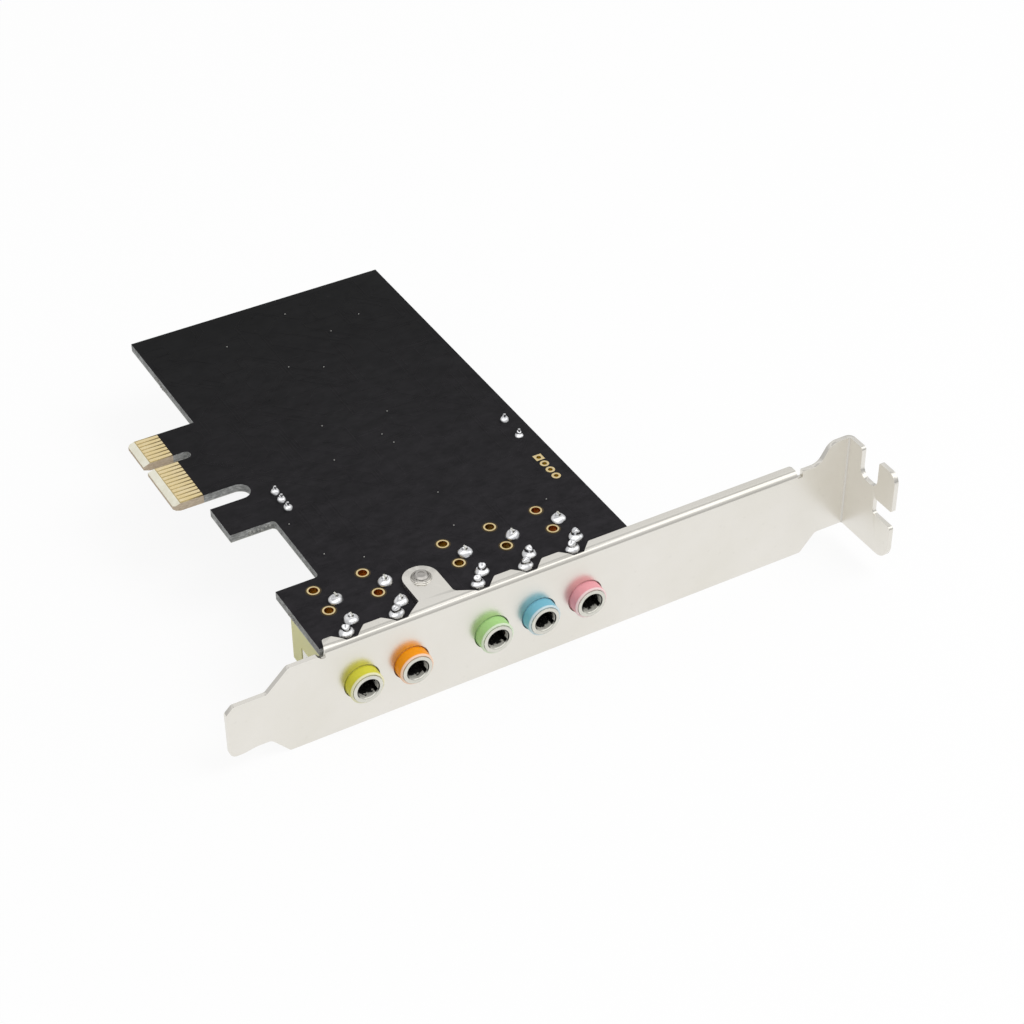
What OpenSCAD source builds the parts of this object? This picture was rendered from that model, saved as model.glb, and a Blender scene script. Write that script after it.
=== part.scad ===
// Sound card on a short edge-connector board, with a full-height slot bracket
// and five 3.5 mm jacks. All sizes are in millimetres.
// The card lies with its solder face up. X runs from the leading edge of the
// edge connector along the bracket to its screw tab, Y runs from the bracket to
// the far end of the board, and Z is normal to the board.
// The origin is the centre of the connector's key, on its leading edge and half
// way through the board.

/* [Circuit board] */
// Thickness of the laminate
board_t = 1.57; // [1.2:0.01:2]
// Last jack's axis to the board's top edge
board_margin = 10.15; // [9.5:0.05:20]
// Reach of the board beyond the key
board_far = 36.7; // [33:0.1:60]
// Height of the board's long edge beyond the connector
shoulder_far_h = 12.7; // [11:0.1:13.5]
// Height of the board's long edge between the leg and the jacks
shoulder_near_h = 13.2; // [11.5:0.1:14]
// Height of the wing that carries the first jack
wing_h = 5.3; // [3:0.1:6.5]
// Length of that wing from the bracket's outer face
wing_l = 17.6; // [17.3:0.1:22]
// Height of the leg beside the connector
leg_h = 5; // [3:0.1:8]
// Width of the leg
leg_w = 8.2; // [5:0.1:12]
// Width of the slot between the connector and the leg
slot_w = 4.1; // [3:0.1:5]
// Height of the straight part of that slot
slot_h = 11.3; // [9:0.1:13]
// Gap between the bracket's outer face and the board's edge
board_setback = 1.4; // [1.3:0.05:2]
// Radius of the board's inner corners
board_corner_r = 0.8; // [0.4:0.1:1.5]

/* [Edge connector] */
// Distance between neighbouring contacts
contact_pitch = 1; // [0.9:0.05:1.05]
// Width of a contact
contact_w = 0.7; // [0.5:0.05:0.8]
// Thickness of the contact plating
contact_t = 0.05; // [0.03:0.01:0.1]
// Contacts between the key and the leg
near_contacts = 11; // [9:1:12]
// Contacts beyond the key
far_contacts = 7; // [5:1:9]
// Key centre to the centre of the first contact
key_to_contact = 1.5; // [1.3:0.05:1.7]
// Last contact's centre to the side of the connector
contact_margin = 0.65; // [0.5:0.05:0.8]
// Width of the key
key_w = 1.9; // [1.5:0.05:2]
// Depth of the key from the leading edge
key_h = 8.55; // [7:0.05:10]
// Length of the bevel at the leading edge
bevel_l = 1.25; // [0.8:0.05:1.6]
// Depth of the bevel on each face
bevel_d = 0.45; // [0.3:0.05:0.55]
// Chamfer of the connector's outer corners
tab_chamfer = 0.4; // [0.2:0.05:0.6]
// Bare laminate between the bevel and the contacts
contact_setback = 0.15; // [0.1:0.05:0.6]
// Height at which the solder mask starts
mask_h = 5.6; // [4.5:0.1:7]

/* [Bracket] */
// Thickness of the steel sheet
sheet_t = 0.86; // [0.7:0.01:1]
// Length of the bracket over its tongue and screw tab
bracket_l = 120.02; // [116:0.1:124]
// Width of the bracket's face
bracket_w = 18.42; // [18:0.01:20]
// Key centre to the bracket's outer face
bracket_to_key = 59.05; // [57:0.05:62]
// Tongue's tip to the connector's leading edge
tip_to_edge = 12; // [11:0.1:13]
// Inner radius of both bends
bend_r = 0.4; // [0.25:0.05:0.45]
// Depth of the lip that lies on the board
lip_d = 2.4; // [2.1:0.1:2.6]
// Depth of the lip in its dips round the solder joints
dip_d = 0.55; // [0.4:0.05:0.9]
// Width of the floor of a dip
dip_w = 2; // [1.6:0.1:2.2]
// Width of the slope at each side of a dip
dip_slope = 1.9; // [1.4:0.1:2.1]
// Tongue's tip to the start of the lip
lip_start = 17.65; // [16.5:0.1:18.3]
// Length of the face past the end of the lip
past_lip = 11.42; // [11:0.01:15]
// Width of the relief between the lip and the neck
relief_w = 1; // [0.6:0.1:1.5]
// Length of the tongue's straight side
tongue_l = 7.1; // [6:0.1:8]
// Lip's top to the tongue's upper side
tongue_top = 4.9; // [4:0.1:6]
// Lip's top to the tongue's lower side
tongue_bottom = 15.3; // [13:0.05:16]
// Height of the waist in the tongue's lower side
waist_d = 0.45; // [0.2:0.05:0.8]
// Tongue's tip to the foot of the lower chamfer
chamfer_foot = 10.4; // [9.5:0.1:11.5]
// Tongue's tip to the head of the upper chamfer
chamfer_head = 11.1; // [10.2:0.1:12]
// Drop of the plain edge beside the lip, from the lip's top
plain_drop = 1.05; // [0.9:0.05:1.2]
// Size of the small notch at the lip's start
lip_notch = 0.7; // [0.5:0.05:0.9]
// Radius of the corners of the tongue's tip
tip_r = 1.3; // [0.5:0.1:2]

/* [Bracket ear] */
// Second jack to the ear's screw
jack_to_ear = 6.3; // [6.2:0.05:6.5]
// Bracket's outer face to the ear's screw
ear_out = 7.9; // [7:0.1:9]
// Radius of the ear
ear_r = 3.1; // [2.8:0.05:3.3]
// Outer radius of the raised thread collar
collar_r = 1.75; // [1.6:0.05:2]
// Height of the raised thread collar
collar_h = 0.35; // [0.3:0.05:0.6]
// Reach of the screw's end above the collar
screw_out = 0.55; // [0.3:0.05:0.8]
// Radius of the screw's shank
screw_r = 1.2; // [1:0.05:1.3]
// Radius of the screw's head
screw_head_r = 1.75; // [1.6:0.05:1.8]
// Height of the screw's head
screw_head_h = 1.4; // [1:0.1:1.8]
// Running gap round the screw's shank
screw_gap = 0.05; // [0.03:0.01:0.1]

/* [Screw tab] */
// Reach of the tab in front of the bracket's face
tab_d = 13.05; // [12:0.05:15]
// Rise of the tab over the lip's top
tab_rise = 3.75; // [3:0.05:5]
// Rise of the tab's lower side over the bracket's lower edge
tab_foot = 3.45; // [2.5:0.05:5]
// Distance of the screw notch from the bracket's face
notch_out = 6.1; // [5.6:0.05:7]
// Width of the screw notch
notch_w = 4.8; // [4.4:0.05:5.2]
// Depth of the screw notch
notch_d = 5.75; // [5:0.05:6.5]
// Top of the side slot below the lip's top
side_slot_top = 4; // [3.5:0.05:4.6]
// Width of the side slot
side_slot_w = 3.45; // [2.5:0.05:4]
// Depth of the side slot
side_slot_d = 5.05; // [3.5:0.05:6]
// Radius of the tab's lower corner
tab_corner_r = 3; // [1.5:0.1:4]
// Length of the narrow neck below the tab
neck_l = 6.6; // [6:0.1:8]
// Length of the chamfer between the face and the neck
neck_chamfer = 3; // [2:0.1:4]
// Length of the curve that widens the neck to the tab
neck_curve = 4.6; // [3.5:0.1:5]

/* [Jacks] */
// Height of the first jack over the connector's leading edge
first_jack = 11.75; // [11.7:0.05:11.8]
// Distance between neighbouring jacks
jack_pitch = 9; // [8.9:0.05:9.1]
// Distance across the ear, between the second and the third jack
jack_gap = 15; // [14.9:0.05:15.1]
// Board's component face to the jacks' axis
jack_drop = 7.08; // [6.6:0.01:7.2]
// Width of a jack's housing
housing_w = 8.8; // [8.2:0.05:8.85]
// Height of a jack's housing
housing_h = 13.4; // [12.5:0.1:13.6]
// Bracket's outer face to the back of the housing
housing_end = 17; // [16:0.1:17.2]
// Wall of the housing
housing_wall = 0.8; // [0.6:0.05:1]
// Radius of the housing's long edges
housing_edge_r = 0.5; // [0.3:0.05:0.7]
// Outer radius of the nose
nose_r = 3.05; // [2.95:0.01:3.15]
// Reach of the nose beyond the bracket's face
nose_l = 2.1; // [1.5:0.1:3.5]
// Gap between the nose and its hole in the bracket
nose_gap = 0.25; // [0.15:0.05:0.4]
// Outer radius of the sleeve contact
bush_r = 2.65; // [2.5:0.01:2.75]
// Reach of the sleeve contact beyond the nose
bush_out = 0.2; // [0.1:0.05:0.4]
// Inner end of the sleeve contact behind the bracket's face
bush_end = 4.2; // [3.8:0.1:4.3]
// Radius of the bore for the plug
bore_r = 1.8; // [1.76:0.01:1.9]
// Chamfer at the mouth of the bore
mouth_chamfer = 0.2; // [0.1:0.05:0.3]
// Width of the slit in the sleeve contact
slit_w = 0.8; // [0.5:0.05:1]
// Gap between the housing and the board
standoff = 0.1; // [0.05:0.01:0.3]
// Thickness of the back cover
cover_t = 1.2; // [0.8:0.1:1.5]
// Gap round the back cover and the contacts
fit_gap = 0.05; // [0.03:0.01:0.08]
// Start of the side window behind the bracket's face
window_start = 9.6; // [9.4:0.1:10]
// Length of the side window
window_l = 4; // [3:0.1:4.5]
// Height of the side window
window_h = 4.6; // [3:0.1:5]
// Jack's axis to the top of the window
window_drop = 1.3; // [1:0.1:1.6]

/* [Jack contacts] */
// Thickness of the contact strip
strip_t = 0.3; // [0.2:0.05:0.4]
// Width of a contact spring
spring_w = 1.2; // [1:0.1:1.2]
// Width of a contact's pin
pin_w = 0.9; // [0.7:0.05:1]
// Sideways place of the front pin and the two open holes
front_pin_x = -1; // [-1.2:0.05:-0.8]
// Sideways place of the spring pins
spring_pin_x = 1.1; // [0.9:0.05:1.3]
// Bracket's outer face to the front pin
front_pin_y = 2.65; // [2.55:0.05:2.8]
// Bracket's outer face to the ring spring's pin
ring_pin_y = 5.05; // [5:0.05:5.2]
// Bracket's outer face to the tip spring's pin
tip_pin_y = 10.75; // [10.5:0.05:11]
// Bracket's outer face to the first open hole
hole_a_y = 9.05; // [8.8:0.05:9.3]
// Bracket's outer face to the second open hole
hole_b_y = 14.75; // [14.4:0.05:15]

/* [Plated holes and solder] */
// Radius of an open jack hole
open_hole_r = 0.8; // [0.6:0.05:0.9]
// Radius of the ring round an open jack hole
open_ring_r = 1.2; // [1.1:0.05:1.35]
// Thickness of the plating
plate_t = 0.05; // [0.03:0.01:0.08]
// Radius of a jack pin's hole
pin_hole_r = 0.7; // [0.6:0.05:0.8]
// Radius of a jack joint's foot
joint_r = 1.2; // [1:0.05:1.25]
// Height of a jack joint
joint_h = 1.25; // [0.8:0.05:1.4]
// Reach of the pins above the solder face
pin_out = 1.45; // [1.4:0.05:1.8]
// Radius of a component lead
lead_r = 0.23; // [0.18:0.01:0.28]
// Radius of a component lead's hole
lead_hole_r = 0.4; // [0.35:0.01:0.45]
// Radius of a small joint's foot
small_joint_r = 0.78; // [0.6:0.01:0.9]
// Height of a small joint
small_joint_h = 0.6; // [0.4:0.05:0.8]
// Distance between the four header pads
header_pitch = 2; // [1.9:0.05:2.1]
// Radius of a header pad
header_ring_r = 0.82; // [0.7:0.01:0.88]
// Radius of a header pad's hole
header_hole_r = 0.42; // [0.35:0.01:0.5]
// Board's top edge to the header pads
header_margin = 3.2; // [2:0.1:4]
// Bracket's outer face to the first header pad
header_from_face = 27.35; // [26.5:0.05:28]

/* [Quad flat packs] */
// Length of the audio chip
audio_l = 20; // [18:0.5:22]
// Width of the audio chip
audio_w = 14; // [12:0.5:15]
// Audio chip's height over the connector's leading edge
audio_x = 40; // [39:0.5:41]
// Audio chip behind the key
audio_y = -12; // [-12.5:0.5:-11]
// Side of the bus bridge chip
bridge_w = 14; // [12:0.5:15]
// Bridge chip's height over the connector's leading edge
bridge_x = 28; // [27:0.5:30]
// Bridge chip beyond the key
bridge_y = 8; // [7.5:0.5:9]
// Thickness of a quad flat pack
pack_t = 1.4; // [1:0.1:2]
// Gap below a pack's body
pack_gap = 0.1; // [0.05:0.01:0.2]
// Distance between neighbouring leads
pack_pitch = 0.5; // [0.45:0.05:0.65]
// Width of a lead
pack_lead_w = 0.22; // [0.15:0.01:0.27]
// Thickness of a lead
pack_lead_t = 0.13; // [0.1:0.01:0.16]
// Reach of a lead beyond the body
pack_reach = 1; // [0.8:0.05:1.3]
// Length of a lead's foot
pack_foot = 0.45; // [0.3:0.05:0.6]
// Radius of the first-pin dimple
dimple_r = 0.7; // [0.4:0.1:1]
// Depth of the first-pin dimple
dimple_d = 0.12; // [0.05:0.01:0.2]

/* [Small outline parts] */
// Length of the memory chip
memory_l = 4.9; // [4.5:0.1:5.3]
// Width of the memory chip
memory_w = 3.9; // [3.6:0.1:4.2]
// Board's top edge to the memory chip
memory_margin = 11.9; // [10:0.1:13]
// Memory chip beyond the key
memory_y = 8; // [6:0.5:10]
// Distance between neighbouring leads of the memory chip
memory_pitch = 1.27; // [1.2:0.01:1.3]
// Width of a lead of the memory chip
memory_lead_w = 0.42; // [0.3:0.01:0.5]
// Length of a power regulator
regulator_l = 6.5; // [6:0.1:7]
// Width of a power regulator
regulator_w = 3.5; // [3.2:0.1:3.8]
// Thickness of a power regulator
regulator_t = 1.6; // [1.4:0.1:1.8]
// Width of a power regulator's cooling tab
regulator_tab_w = 3; // [2.6:0.1:3.3]
// Distance between a power regulator's leads
regulator_pitch = 2.3; // [2.1:0.05:2.4]
// Width of a power regulator's lead
regulator_lead_w = 0.7; // [0.6:0.05:0.9]

/* [Three-lead regulator] */
// Its height over the connector's leading edge
transistor_x = 16.56; // [16.3:0.02:17]
// Bracket's outer face to its middle lead
transistor_from_face = 38.8; // [38:0.1:39.5]
// Distance between its leads at the board
transistor_spread = 2.54; // [2.4:0.02:2.6]
// Distance between its leads at the body
transistor_pitch = 1.27; // [1.2:0.01:1.3]
// Radius of its body
transistor_r = 2.3; // [2.2:0.05:2.4]
// Height of its body
transistor_h = 4.6; // [4.3:0.1:5]
// Length of its leads between the bend and the body
transistor_gap = 2.4; // [1.8:0.1:3]
// Axis to the flat of its body
transistor_flat = 1.35; // [1.2:0.05:1.5]

/* [Crystals] */
// Length of the crystal's can
crystal_l = 10.2; // [9.6:0.1:11]
// Width of the crystal's can
crystal_w = 3.8; // [3.5:0.1:4]
// Height of the crystal's can
crystal_h = 3.2; // [3:0.1:4]
// Reach of the can's flange
crystal_flange = 0.4; // [0.2:0.05:0.45]
// Thickness of the can's flange
flange_t = 0.45; // [0.3:0.05:0.6]
// Distance between its leads
crystal_pitch = 5.2; // [4.9:0.05:5.4]
// Gap between the crystal and the board
crystal_gap = 0.3; // [0.1:0.05:0.5]
// Board's top edge to the crystal
crystal_margin = 2.95; // [2.6:0.05:3.5]
// Bracket's outer face to the crystal
crystal_from_face = 37.2; // [36:0.1:38]
// Length of the ceramic oscillator
oscillator_l = 5; // [4:0.1:6]
// Width of the ceramic oscillator
oscillator_w = 3.2; // [2.5:0.1:4]
// Height of the ceramic oscillator's base
oscillator_h = 0.7; // [0.5:0.05:1]
// Height of its metal lid
lid_h = 0.35; // [0.2:0.05:0.5]
// Rim of the base round the lid
lid_rim = 0.3; // [0.2:0.05:0.4]
// Oscillator's height over the connector's leading edge
oscillator_x = 40.5; // [39:0.5:41]
// Oscillator beyond the key
oscillator_y = 9; // [7:0.5:12]

/* [Electrolytic capacitors] */
// Radius of an output capacitor's can
can_r = 2.5; // [2.2:0.05:2.6]
// Height of an output capacitor
can_h = 5.4; // [4.5:0.1:6]
// Radius of a supply capacitor's can
supply_can_r = 3.15; // [2.8:0.05:3.3]
// Height of a supply capacitor
supply_can_h = 7.7; // [6:0.1:8]
// Reach of the base beyond the can
base_rim = 0.15; // [0.1:0.01:0.2]
// Height of the base
base_h = 0.9; // [0.6:0.05:1.2]
// Output capacitors in their row
output_cans = 7; // [4:1:7]
// Header pads to the last output capacitor
can_to_header = 4.5; // [4.3:0.1:6]
// First output capacitor's height over the connector's leading edge
first_can = 19; // [18.5:0.1:20]
// Bracket's outer face to the row of output capacitors
cans_from_face = 27.6; // [27:0.1:28]
// Distance between supply capacitors
supply_pitch = 9; // [8:0.1:10]
// First supply capacitor's height over the connector's leading edge
first_supply = 21; // [20:0.1:22]
// Supply capacitors beyond the key
supply_y = 25.5; // [24:0.1:27]

/* [Chip resistors and capacitors] */
// Length of a chip part
chip_l = 1.6; // [1.4:0.05:1.8]
// Width of a chip part
chip_w = 0.8; // [0.7:0.05:0.9]
// Height of a chip resistor
resistor_t = 0.45; // [0.35:0.05:0.6]
// Height of a chip capacitor
capacitor_t = 0.8; // [0.6:0.05:0.9]
// Length of a chip part's end cap
end_cap = 0.3; // [0.2:0.05:0.4]
// Thickness of the plating over a chip part's end
end_plate = 0.03; // [0.02:0.01:0.05]
// Distance between chip parts in a row
chip_pitch = 2; // [1.8:0.05:2.05]
// Distance of a row from the pack that it serves
row_gap = 2.3; // [2.1:0.05:2.4]

/* [Hidden] */
$fn = 48;

// Overrun of every cut past the face that it goes through
cut = 1;
// Steps of a rounded corner
corner_steps = 8;

// Height of a jack over the connector's leading edge
function jack_x(i) = first_jack + i * jack_pitch + (i > 1 ? jack_gap - jack_pitch : 0);
JACKS = 5;
// Tongue's tip to the ear's screw
ear_along = tip_to_edge + jack_x(1) + jack_to_ear;

board_h = jack_x(JACKS - 1) + board_margin;
solder_z = board_t / 2;
component_z = -board_t / 2;
lip_top = solder_z + sheet_t;
face_y = -bracket_to_key;
bend_out = bend_r + sheet_t;
// Tongue's tip to the end of the lip
lip_end = bracket_l - past_lip;
hole_depth = board_t + 2 * cut;

tab_far = key_to_contact + (far_contacts - 1) * contact_pitch + contact_margin;
tab_near = -(key_to_contact + (near_contacts - 1) * contact_pitch + contact_margin);
leg_far = tab_near - slot_w;
leg_near = leg_far - leg_w;
contact_start = bevel_l + contact_setback;

jack_z = component_z - jack_drop;
housing_top = jack_drop - standoff;
housing_start = sheet_t + fit_gap;
cavity_w = housing_w - 2 * housing_wall;
cavity_top = housing_top - housing_wall;
cavity_low = housing_top - housing_h + housing_wall;
pin_top = jack_drop + board_t + pin_out;
spring_wall_x = cavity_w / 2 - strip_t;
spring_touch_x = bore_r + strip_t;
collar_top = lip_top + collar_h;

header_x = board_h - header_margin;
memory_x = board_h - memory_margin;
crystal_x = board_h - crystal_margin;
can_pitch = (header_x - can_to_header - first_can) / (output_cans - 1);
can_zone_y = face_y + cans_from_face;
chip_zone_y = face_y + housing_end + chip_l;
terminal_t = base_h / 6;

function unit(v) = v / norm(v);
function left_of(v) = [-v.y, v.x];

// Arc that rounds the corner q between p and s
function round_corner(p, q, s, r) =
  r == 0 ? [q] :
  let (u = unit(p - q), v = unit(s - q))
  let (half = acos(u * v) / 2)
  let (c = q + unit(u + v) * r / sin(half))
  let (start = q + u * r / tan(half) - c)
  let (a = atan2(start.y, start.x), turn = -sign(cross(u, v)) * (180 - 2 * half))
  [for (k = [0:corner_steps])
    c + r * [cos(a + turn * k / corner_steps), sin(a + turn * k / corner_steps)]];

// Outline through the corners [x, y, radius]
module outline(corners) {
  n = len(corners);
  xy = [for (c = corners) [c.x, c.y]];
  polygon([for (i = [0:n - 1])
    each round_corner(xy[(i + n - 1) % n], xy[i], xy[(i + 1) % n], corners[i].z)]);
}

// Direction of a path at its point i, before and after it
function way_in(path, i) = unit(i == 0 ? path[1] - path[0] : path[i] - path[i - 1]);
function way_out(path, i) =
  i == len(path) - 1 ? way_in(path, i) : unit(path[i + 1] - path[i]);

// Point beside a path, at the mitre of its point i
function beside(path, i, d) =
  let (m = unit(left_of(way_in(path, i)) + left_of(way_out(path, i))))
  path[i] + m * d / (m * left_of(way_in(path, i)));

// Bent strip of thickness t along a path
module strip(path, t) {
  last = len(path) - 1;
  polygon(concat(
    [for (i = [0:last]) beside(path, i, t / 2)],
    [for (i = [last:-1:0]) beside(path, i, -t / 2)]));
}

// Stands a part on the component face, which looks down
module on_component_face(x, y, turn = 0) {
  translate([x, y, component_z]) rotate([180, 0, turn]) children();
}

// Extrudes a profile drawn in X and Z along Y, centred on the plane y = 0
module across_y(l) {
  rotate([90, 0, 0]) linear_extrude(l, center = true) children();
}

module centred_box(l, w, h) {
  translate([-l / 2, -w / 2, 0]) cube([l, w, h]);
}

// Circuit board: one laminate with its tab, key, slot, leg and wing
module board_outline() {
  front = face_y + board_setback;
  wing_end = face_y + wing_l;
  difference() {
    outline([
      [0, tab_near + tab_chamfer, 0],
      [tab_chamfer, tab_near, 0],
      [slot_h, tab_near, 0],
      [slot_h, leg_far, 0],
      [leg_h, leg_far, 0],
      [leg_h, leg_near, 0],
      [shoulder_near_h, leg_near, board_corner_r],
      [shoulder_near_h, wing_end, board_corner_r],
      [wing_h, wing_end, 0],
      [wing_h, front, 0],
      [board_h, front, 0],
      [board_h, board_far, 0],
      [shoulder_far_h, board_far, 0],
      [shoulder_far_h, tab_far, 0],
      [tab_chamfer, tab_far, 0],
      [0, tab_far - tab_chamfer, 0]]);
    translate([slot_h, (tab_near + leg_far) / 2]) circle(slot_w / 2);
    translate([-cut, -key_w / 2]) square([key_h - key_w / 2 + cut, key_w]);
    translate([key_h - key_w / 2, 0]) circle(key_w / 2);
  }
}

// Wedge that bevels one face of the connector's leading edge
module bevel_cut() {
  tab_w = tab_far - tab_near;
  slope = bevel_d / bevel_l;
  translate([0, tab_far + cut, 0])
    rotate([90, 0, 0]) linear_extrude(tab_w + 2 * cut)
      polygon([
        [-cut, solder_z - bevel_d - cut * slope],
        [bevel_l, solder_z],
        [bevel_l, solder_z + cut],
        [-cut, solder_z + cut]]);
}

// Places a child at each hole of the jacks' pins
module at_pin_holes() {
  for (i = [0:JACKS - 1]) translate([jack_x(i), face_y, 0]) {
    translate([front_pin_x, front_pin_y, 0]) children();
    translate([spring_pin_x, ring_pin_y, 0]) children();
    translate([spring_pin_x, tip_pin_y, 0]) children();
  }
}

module at_open_holes() {
  for (i = [0:JACKS - 1], y = [hole_a_y, hole_b_y])
    translate([jack_x(i) + front_pin_x, face_y + y, 0]) children();
}

module at_lead_holes() {
  for (k = [-1:1])
    translate([transistor_x, face_y + transistor_from_face + k * transistor_spread, 0])
      children();
  for (k = [-1, 1])
    translate([crystal_x, face_y + crystal_from_face + k * crystal_pitch / 2, 0]) children();
}

module hole(r) {
  cylinder(hole_depth, r, r, center = true);
}

module circuit_board() {
  color([0.15, 0.15, 0.16]) difference() {
    translate([0, 0, component_z]) linear_extrude(board_t) board_outline();
    bevel_cut();
    mirror([0, 0, 1]) bevel_cut();
    at_pin_holes() hole(pin_hole_r);
    at_open_holes() hole(open_hole_r + plate_t);
    at_lead_holes() hole(lead_hole_r);
    for (k = [0:3]) translate([header_x, header_y(k), 0]) hole(header_hole_r + plate_t);
    translate([ear_x(), ear_y(), 0]) hole(screw_r + screw_gap);
  }
}

function header_y(k) = face_y + header_from_face - k * header_pitch;
function ear_x() = ear_along - tip_to_edge;
function ear_y() = face_y + ear_out;

// Gold contacts on both faces of the connector
module edge_contacts() {
  places = concat(
    [for (k = [0:far_contacts - 1]) key_to_contact + k * contact_pitch],
    [for (k = [0:near_contacts - 1]) -key_to_contact - k * contact_pitch]);
  color([0.93, 0.79, 0.45])
    for (y = places, z = [solder_z, component_z - contact_t])
      translate([contact_start, y - contact_w / 2, z])
        cube([mask_h - contact_start, contact_w, contact_t]);
}

// Plated hole: a barrel through the board with a ring on each face
module barrel(ring_r, hole_r) {
  difference() {
    union() {
      cylinder(board_t, hole_r + plate_t, hole_r + plate_t, center = true);
      for (z = [solder_z, component_z - plate_t])
        translate([0, 0, z]) cylinder(plate_t, ring_r, ring_r);
    }
    hole(hole_r);
  }
}

module plated_holes() {
  color([0.9, 0.78, 0.5]) {
    at_open_holes() barrel(open_ring_r, open_hole_r);
    for (k = [1:3]) translate([header_x, header_y(k), 0]) barrel(header_ring_r, header_hole_r);
    translate([header_x, header_y(0), 0]) difference() {
      union() {
        barrel(header_ring_r, header_hole_r);
        for (z = [solder_z, component_z - plate_t])
          translate([0, 0, z]) centred_box(2 * header_ring_r, 2 * header_ring_r, plate_t);
      }
      hole(header_hole_r);
    }
  }
}

// Solder dome and the plug that fills its hole
module joint(foot_r, hole_r, h) {
  flank_shares = [[1, 0], [0.97, 0.14], [0.88, 0.34], [0.74, 0.56], [0.58, 0.78], [0.4, 0.94], [0.25, 1]];
  rotate_extrude() polygon(concat(
    [[0, component_z], [hole_r, component_z], [hole_r, solder_z]],
    [for (s = flank_shares) [s.x * foot_r, solder_z + s.y * h]],
    [[0, solder_z + h]]));
}

module solder_joints() {
  color([0.85, 0.86, 0.87]) {
    difference() {
      at_pin_holes() joint(joint_r, pin_hole_r, joint_h);
      at_pin_holes() cube([strip_t, pin_w, 2 * (board_t + joint_h)], center = true);
    }
    difference() {
      at_lead_holes() joint(small_joint_r, lead_hole_r, small_joint_h);
      at_lead_holes() cylinder(2 * (board_t + small_joint_h), lead_r, lead_r, center = true);
    }
  }
}

// Bracket: one bent sheet, drawn from its tongue's tip and its lip's top
module bracket_face() {
  low = -bracket_w;
  tab_low = low + tab_foot;
  bend_x = bracket_l - bend_out;
  neck_x = bracket_l - neck_l;
  relief_x = lip_end + relief_w;
  curve_x = bracket_l - neck_curve;
  curve_mid = neck_curve / 2;
  outline([
    [0, -tongue_bottom, tip_r],
    [tongue_l / 3, -tongue_bottom, 0],
    [tongue_l * 2 / 3, waist_d - tongue_bottom, tip_r],
    [chamfer_foot - (bracket_w - tongue_bottom), waist_d - tongue_bottom, tip_r],
    [chamfer_foot, low, tip_r / 2],
    [neck_x - neck_chamfer, low, tip_r / 2],
    [neck_x, tab_low, tip_r],
    [bend_x, tab_low, 0],
    [bend_x, tab_rise, 0],
    [curve_x, tab_rise, curve_mid],
    [curve_x - curve_mid, 0, curve_mid],
    [relief_x, 0, 0],
    [relief_x, -bend_out, 0],
    [lip_start, -bend_out, 0],
    [lip_start, -plain_drop - lip_notch, lip_notch / 5],
    [lip_start - lip_notch, -plain_drop - lip_notch, lip_notch / 3],
    [lip_start - 2 * lip_notch, -plain_drop, lip_notch / 3],
    [chamfer_head, -plain_drop, tip_r / 2],
    [tongue_l, -tongue_top, tip_r / 2],
    [tip_r, -tongue_top, tip_r / 2],
    [0, -tongue_top - tip_r, tip_r / 2]]);
}

// Quarter bend and lip, as one length of folded sheet
module lip_stock() {
  reach = ear_out + ear_r + cut;
  translate([lip_start, 0, 0]) rotate([90, 0, 90]) linear_extrude(lip_end - lip_start) {
    intersection() {
      difference() {
        translate([bend_out, -bend_out]) circle(bend_out);
        translate([bend_out, -bend_out]) circle(bend_r);
      }
      translate([0, -bend_out]) square(bend_out);
    }
    translate([bend_out, -sheet_t]) square([reach - bend_out, sheet_t]);
  }
}

// Corners of the dip round the front joint of a jack
function dip(i) =
  let (x = jack_x(i) + front_pin_x + tip_to_edge, half = dip_w / 2)
  let (r = dip_slope / 4)
  [[x - half - dip_slope, lip_d, r], [x - half, dip_d, r],
   [x + half, dip_d, r], [x + half + dip_slope, lip_d, r]];

module lip_outline() {
  r = dip_slope / 4;
  outline(concat(
    [[lip_start, -cut, 0], [lip_start, dip_d, 0], [lip_start + dip_d, lip_d, r]],
    dip(0),
    [dip(1)[0], dip(1)[1], dip(1)[2]],
    [[ear_along - ear_r, lip_d + dip_d, 0],
     [ear_along - ear_r, ear_out + ear_r, ear_r - r / 4],
     [ear_along + ear_r, ear_out + ear_r, ear_r - r / 4],
     [ear_along + ear_r, lip_d, dip_slope / 2]],
    [dip(2)[1], dip(2)[2], dip(2)[3]],
    dip(3), dip(4),
    [[lip_end, lip_d, dip_d], [lip_end, -cut, 0]]));
}

// Screw tab seen along X: its corners, screw notch and side slot
module tab_outline() {
  top = tab_rise;
  low = -bracket_w + tab_foot;
  half = notch_w / 2;
  prong_w = tab_d - notch_out - half;
  notch_low = top - notch_d;
  slot_low = -side_slot_top - side_slot_w;
  soft = side_slot_w / 5;
  outline([
    [cut, low, 0],
    [-tab_d, low, tab_corner_r],
    [-tab_d, slot_low, soft],
    [-tab_d + side_slot_d, slot_low, soft],
    [-tab_d + side_slot_d, -side_slot_top, soft],
    [-tab_d, -side_slot_top, soft / 2],
    [-tab_d, top, min(tab_corner_r * 2 / 3, prong_w / 2)],
    [-notch_out - half, top, soft / 2],
    [-notch_out - half, notch_low, half * 3 / 4],
    [-notch_out + half, notch_low, half * 3 / 4],
    [-notch_out + half, top, soft],
    [cut, top, 0]]);
}

module tab_stock() {
  low = -bracket_w + tab_foot;
  bend_x = bracket_l - bend_out;
  translate([0, 0, low]) linear_extrude(tab_rise - low) {
    intersection() {
      difference() {
        translate([bend_x, -bend_r]) circle(bend_out);
        translate([bend_x, -bend_r]) circle(bend_r);
      }
      translate([bend_x, -bend_r]) square(bend_out);
    }
    translate([bracket_l - sheet_t, -tab_d]) square([sheet_t, tab_d - bend_r]);
  }
}

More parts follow.
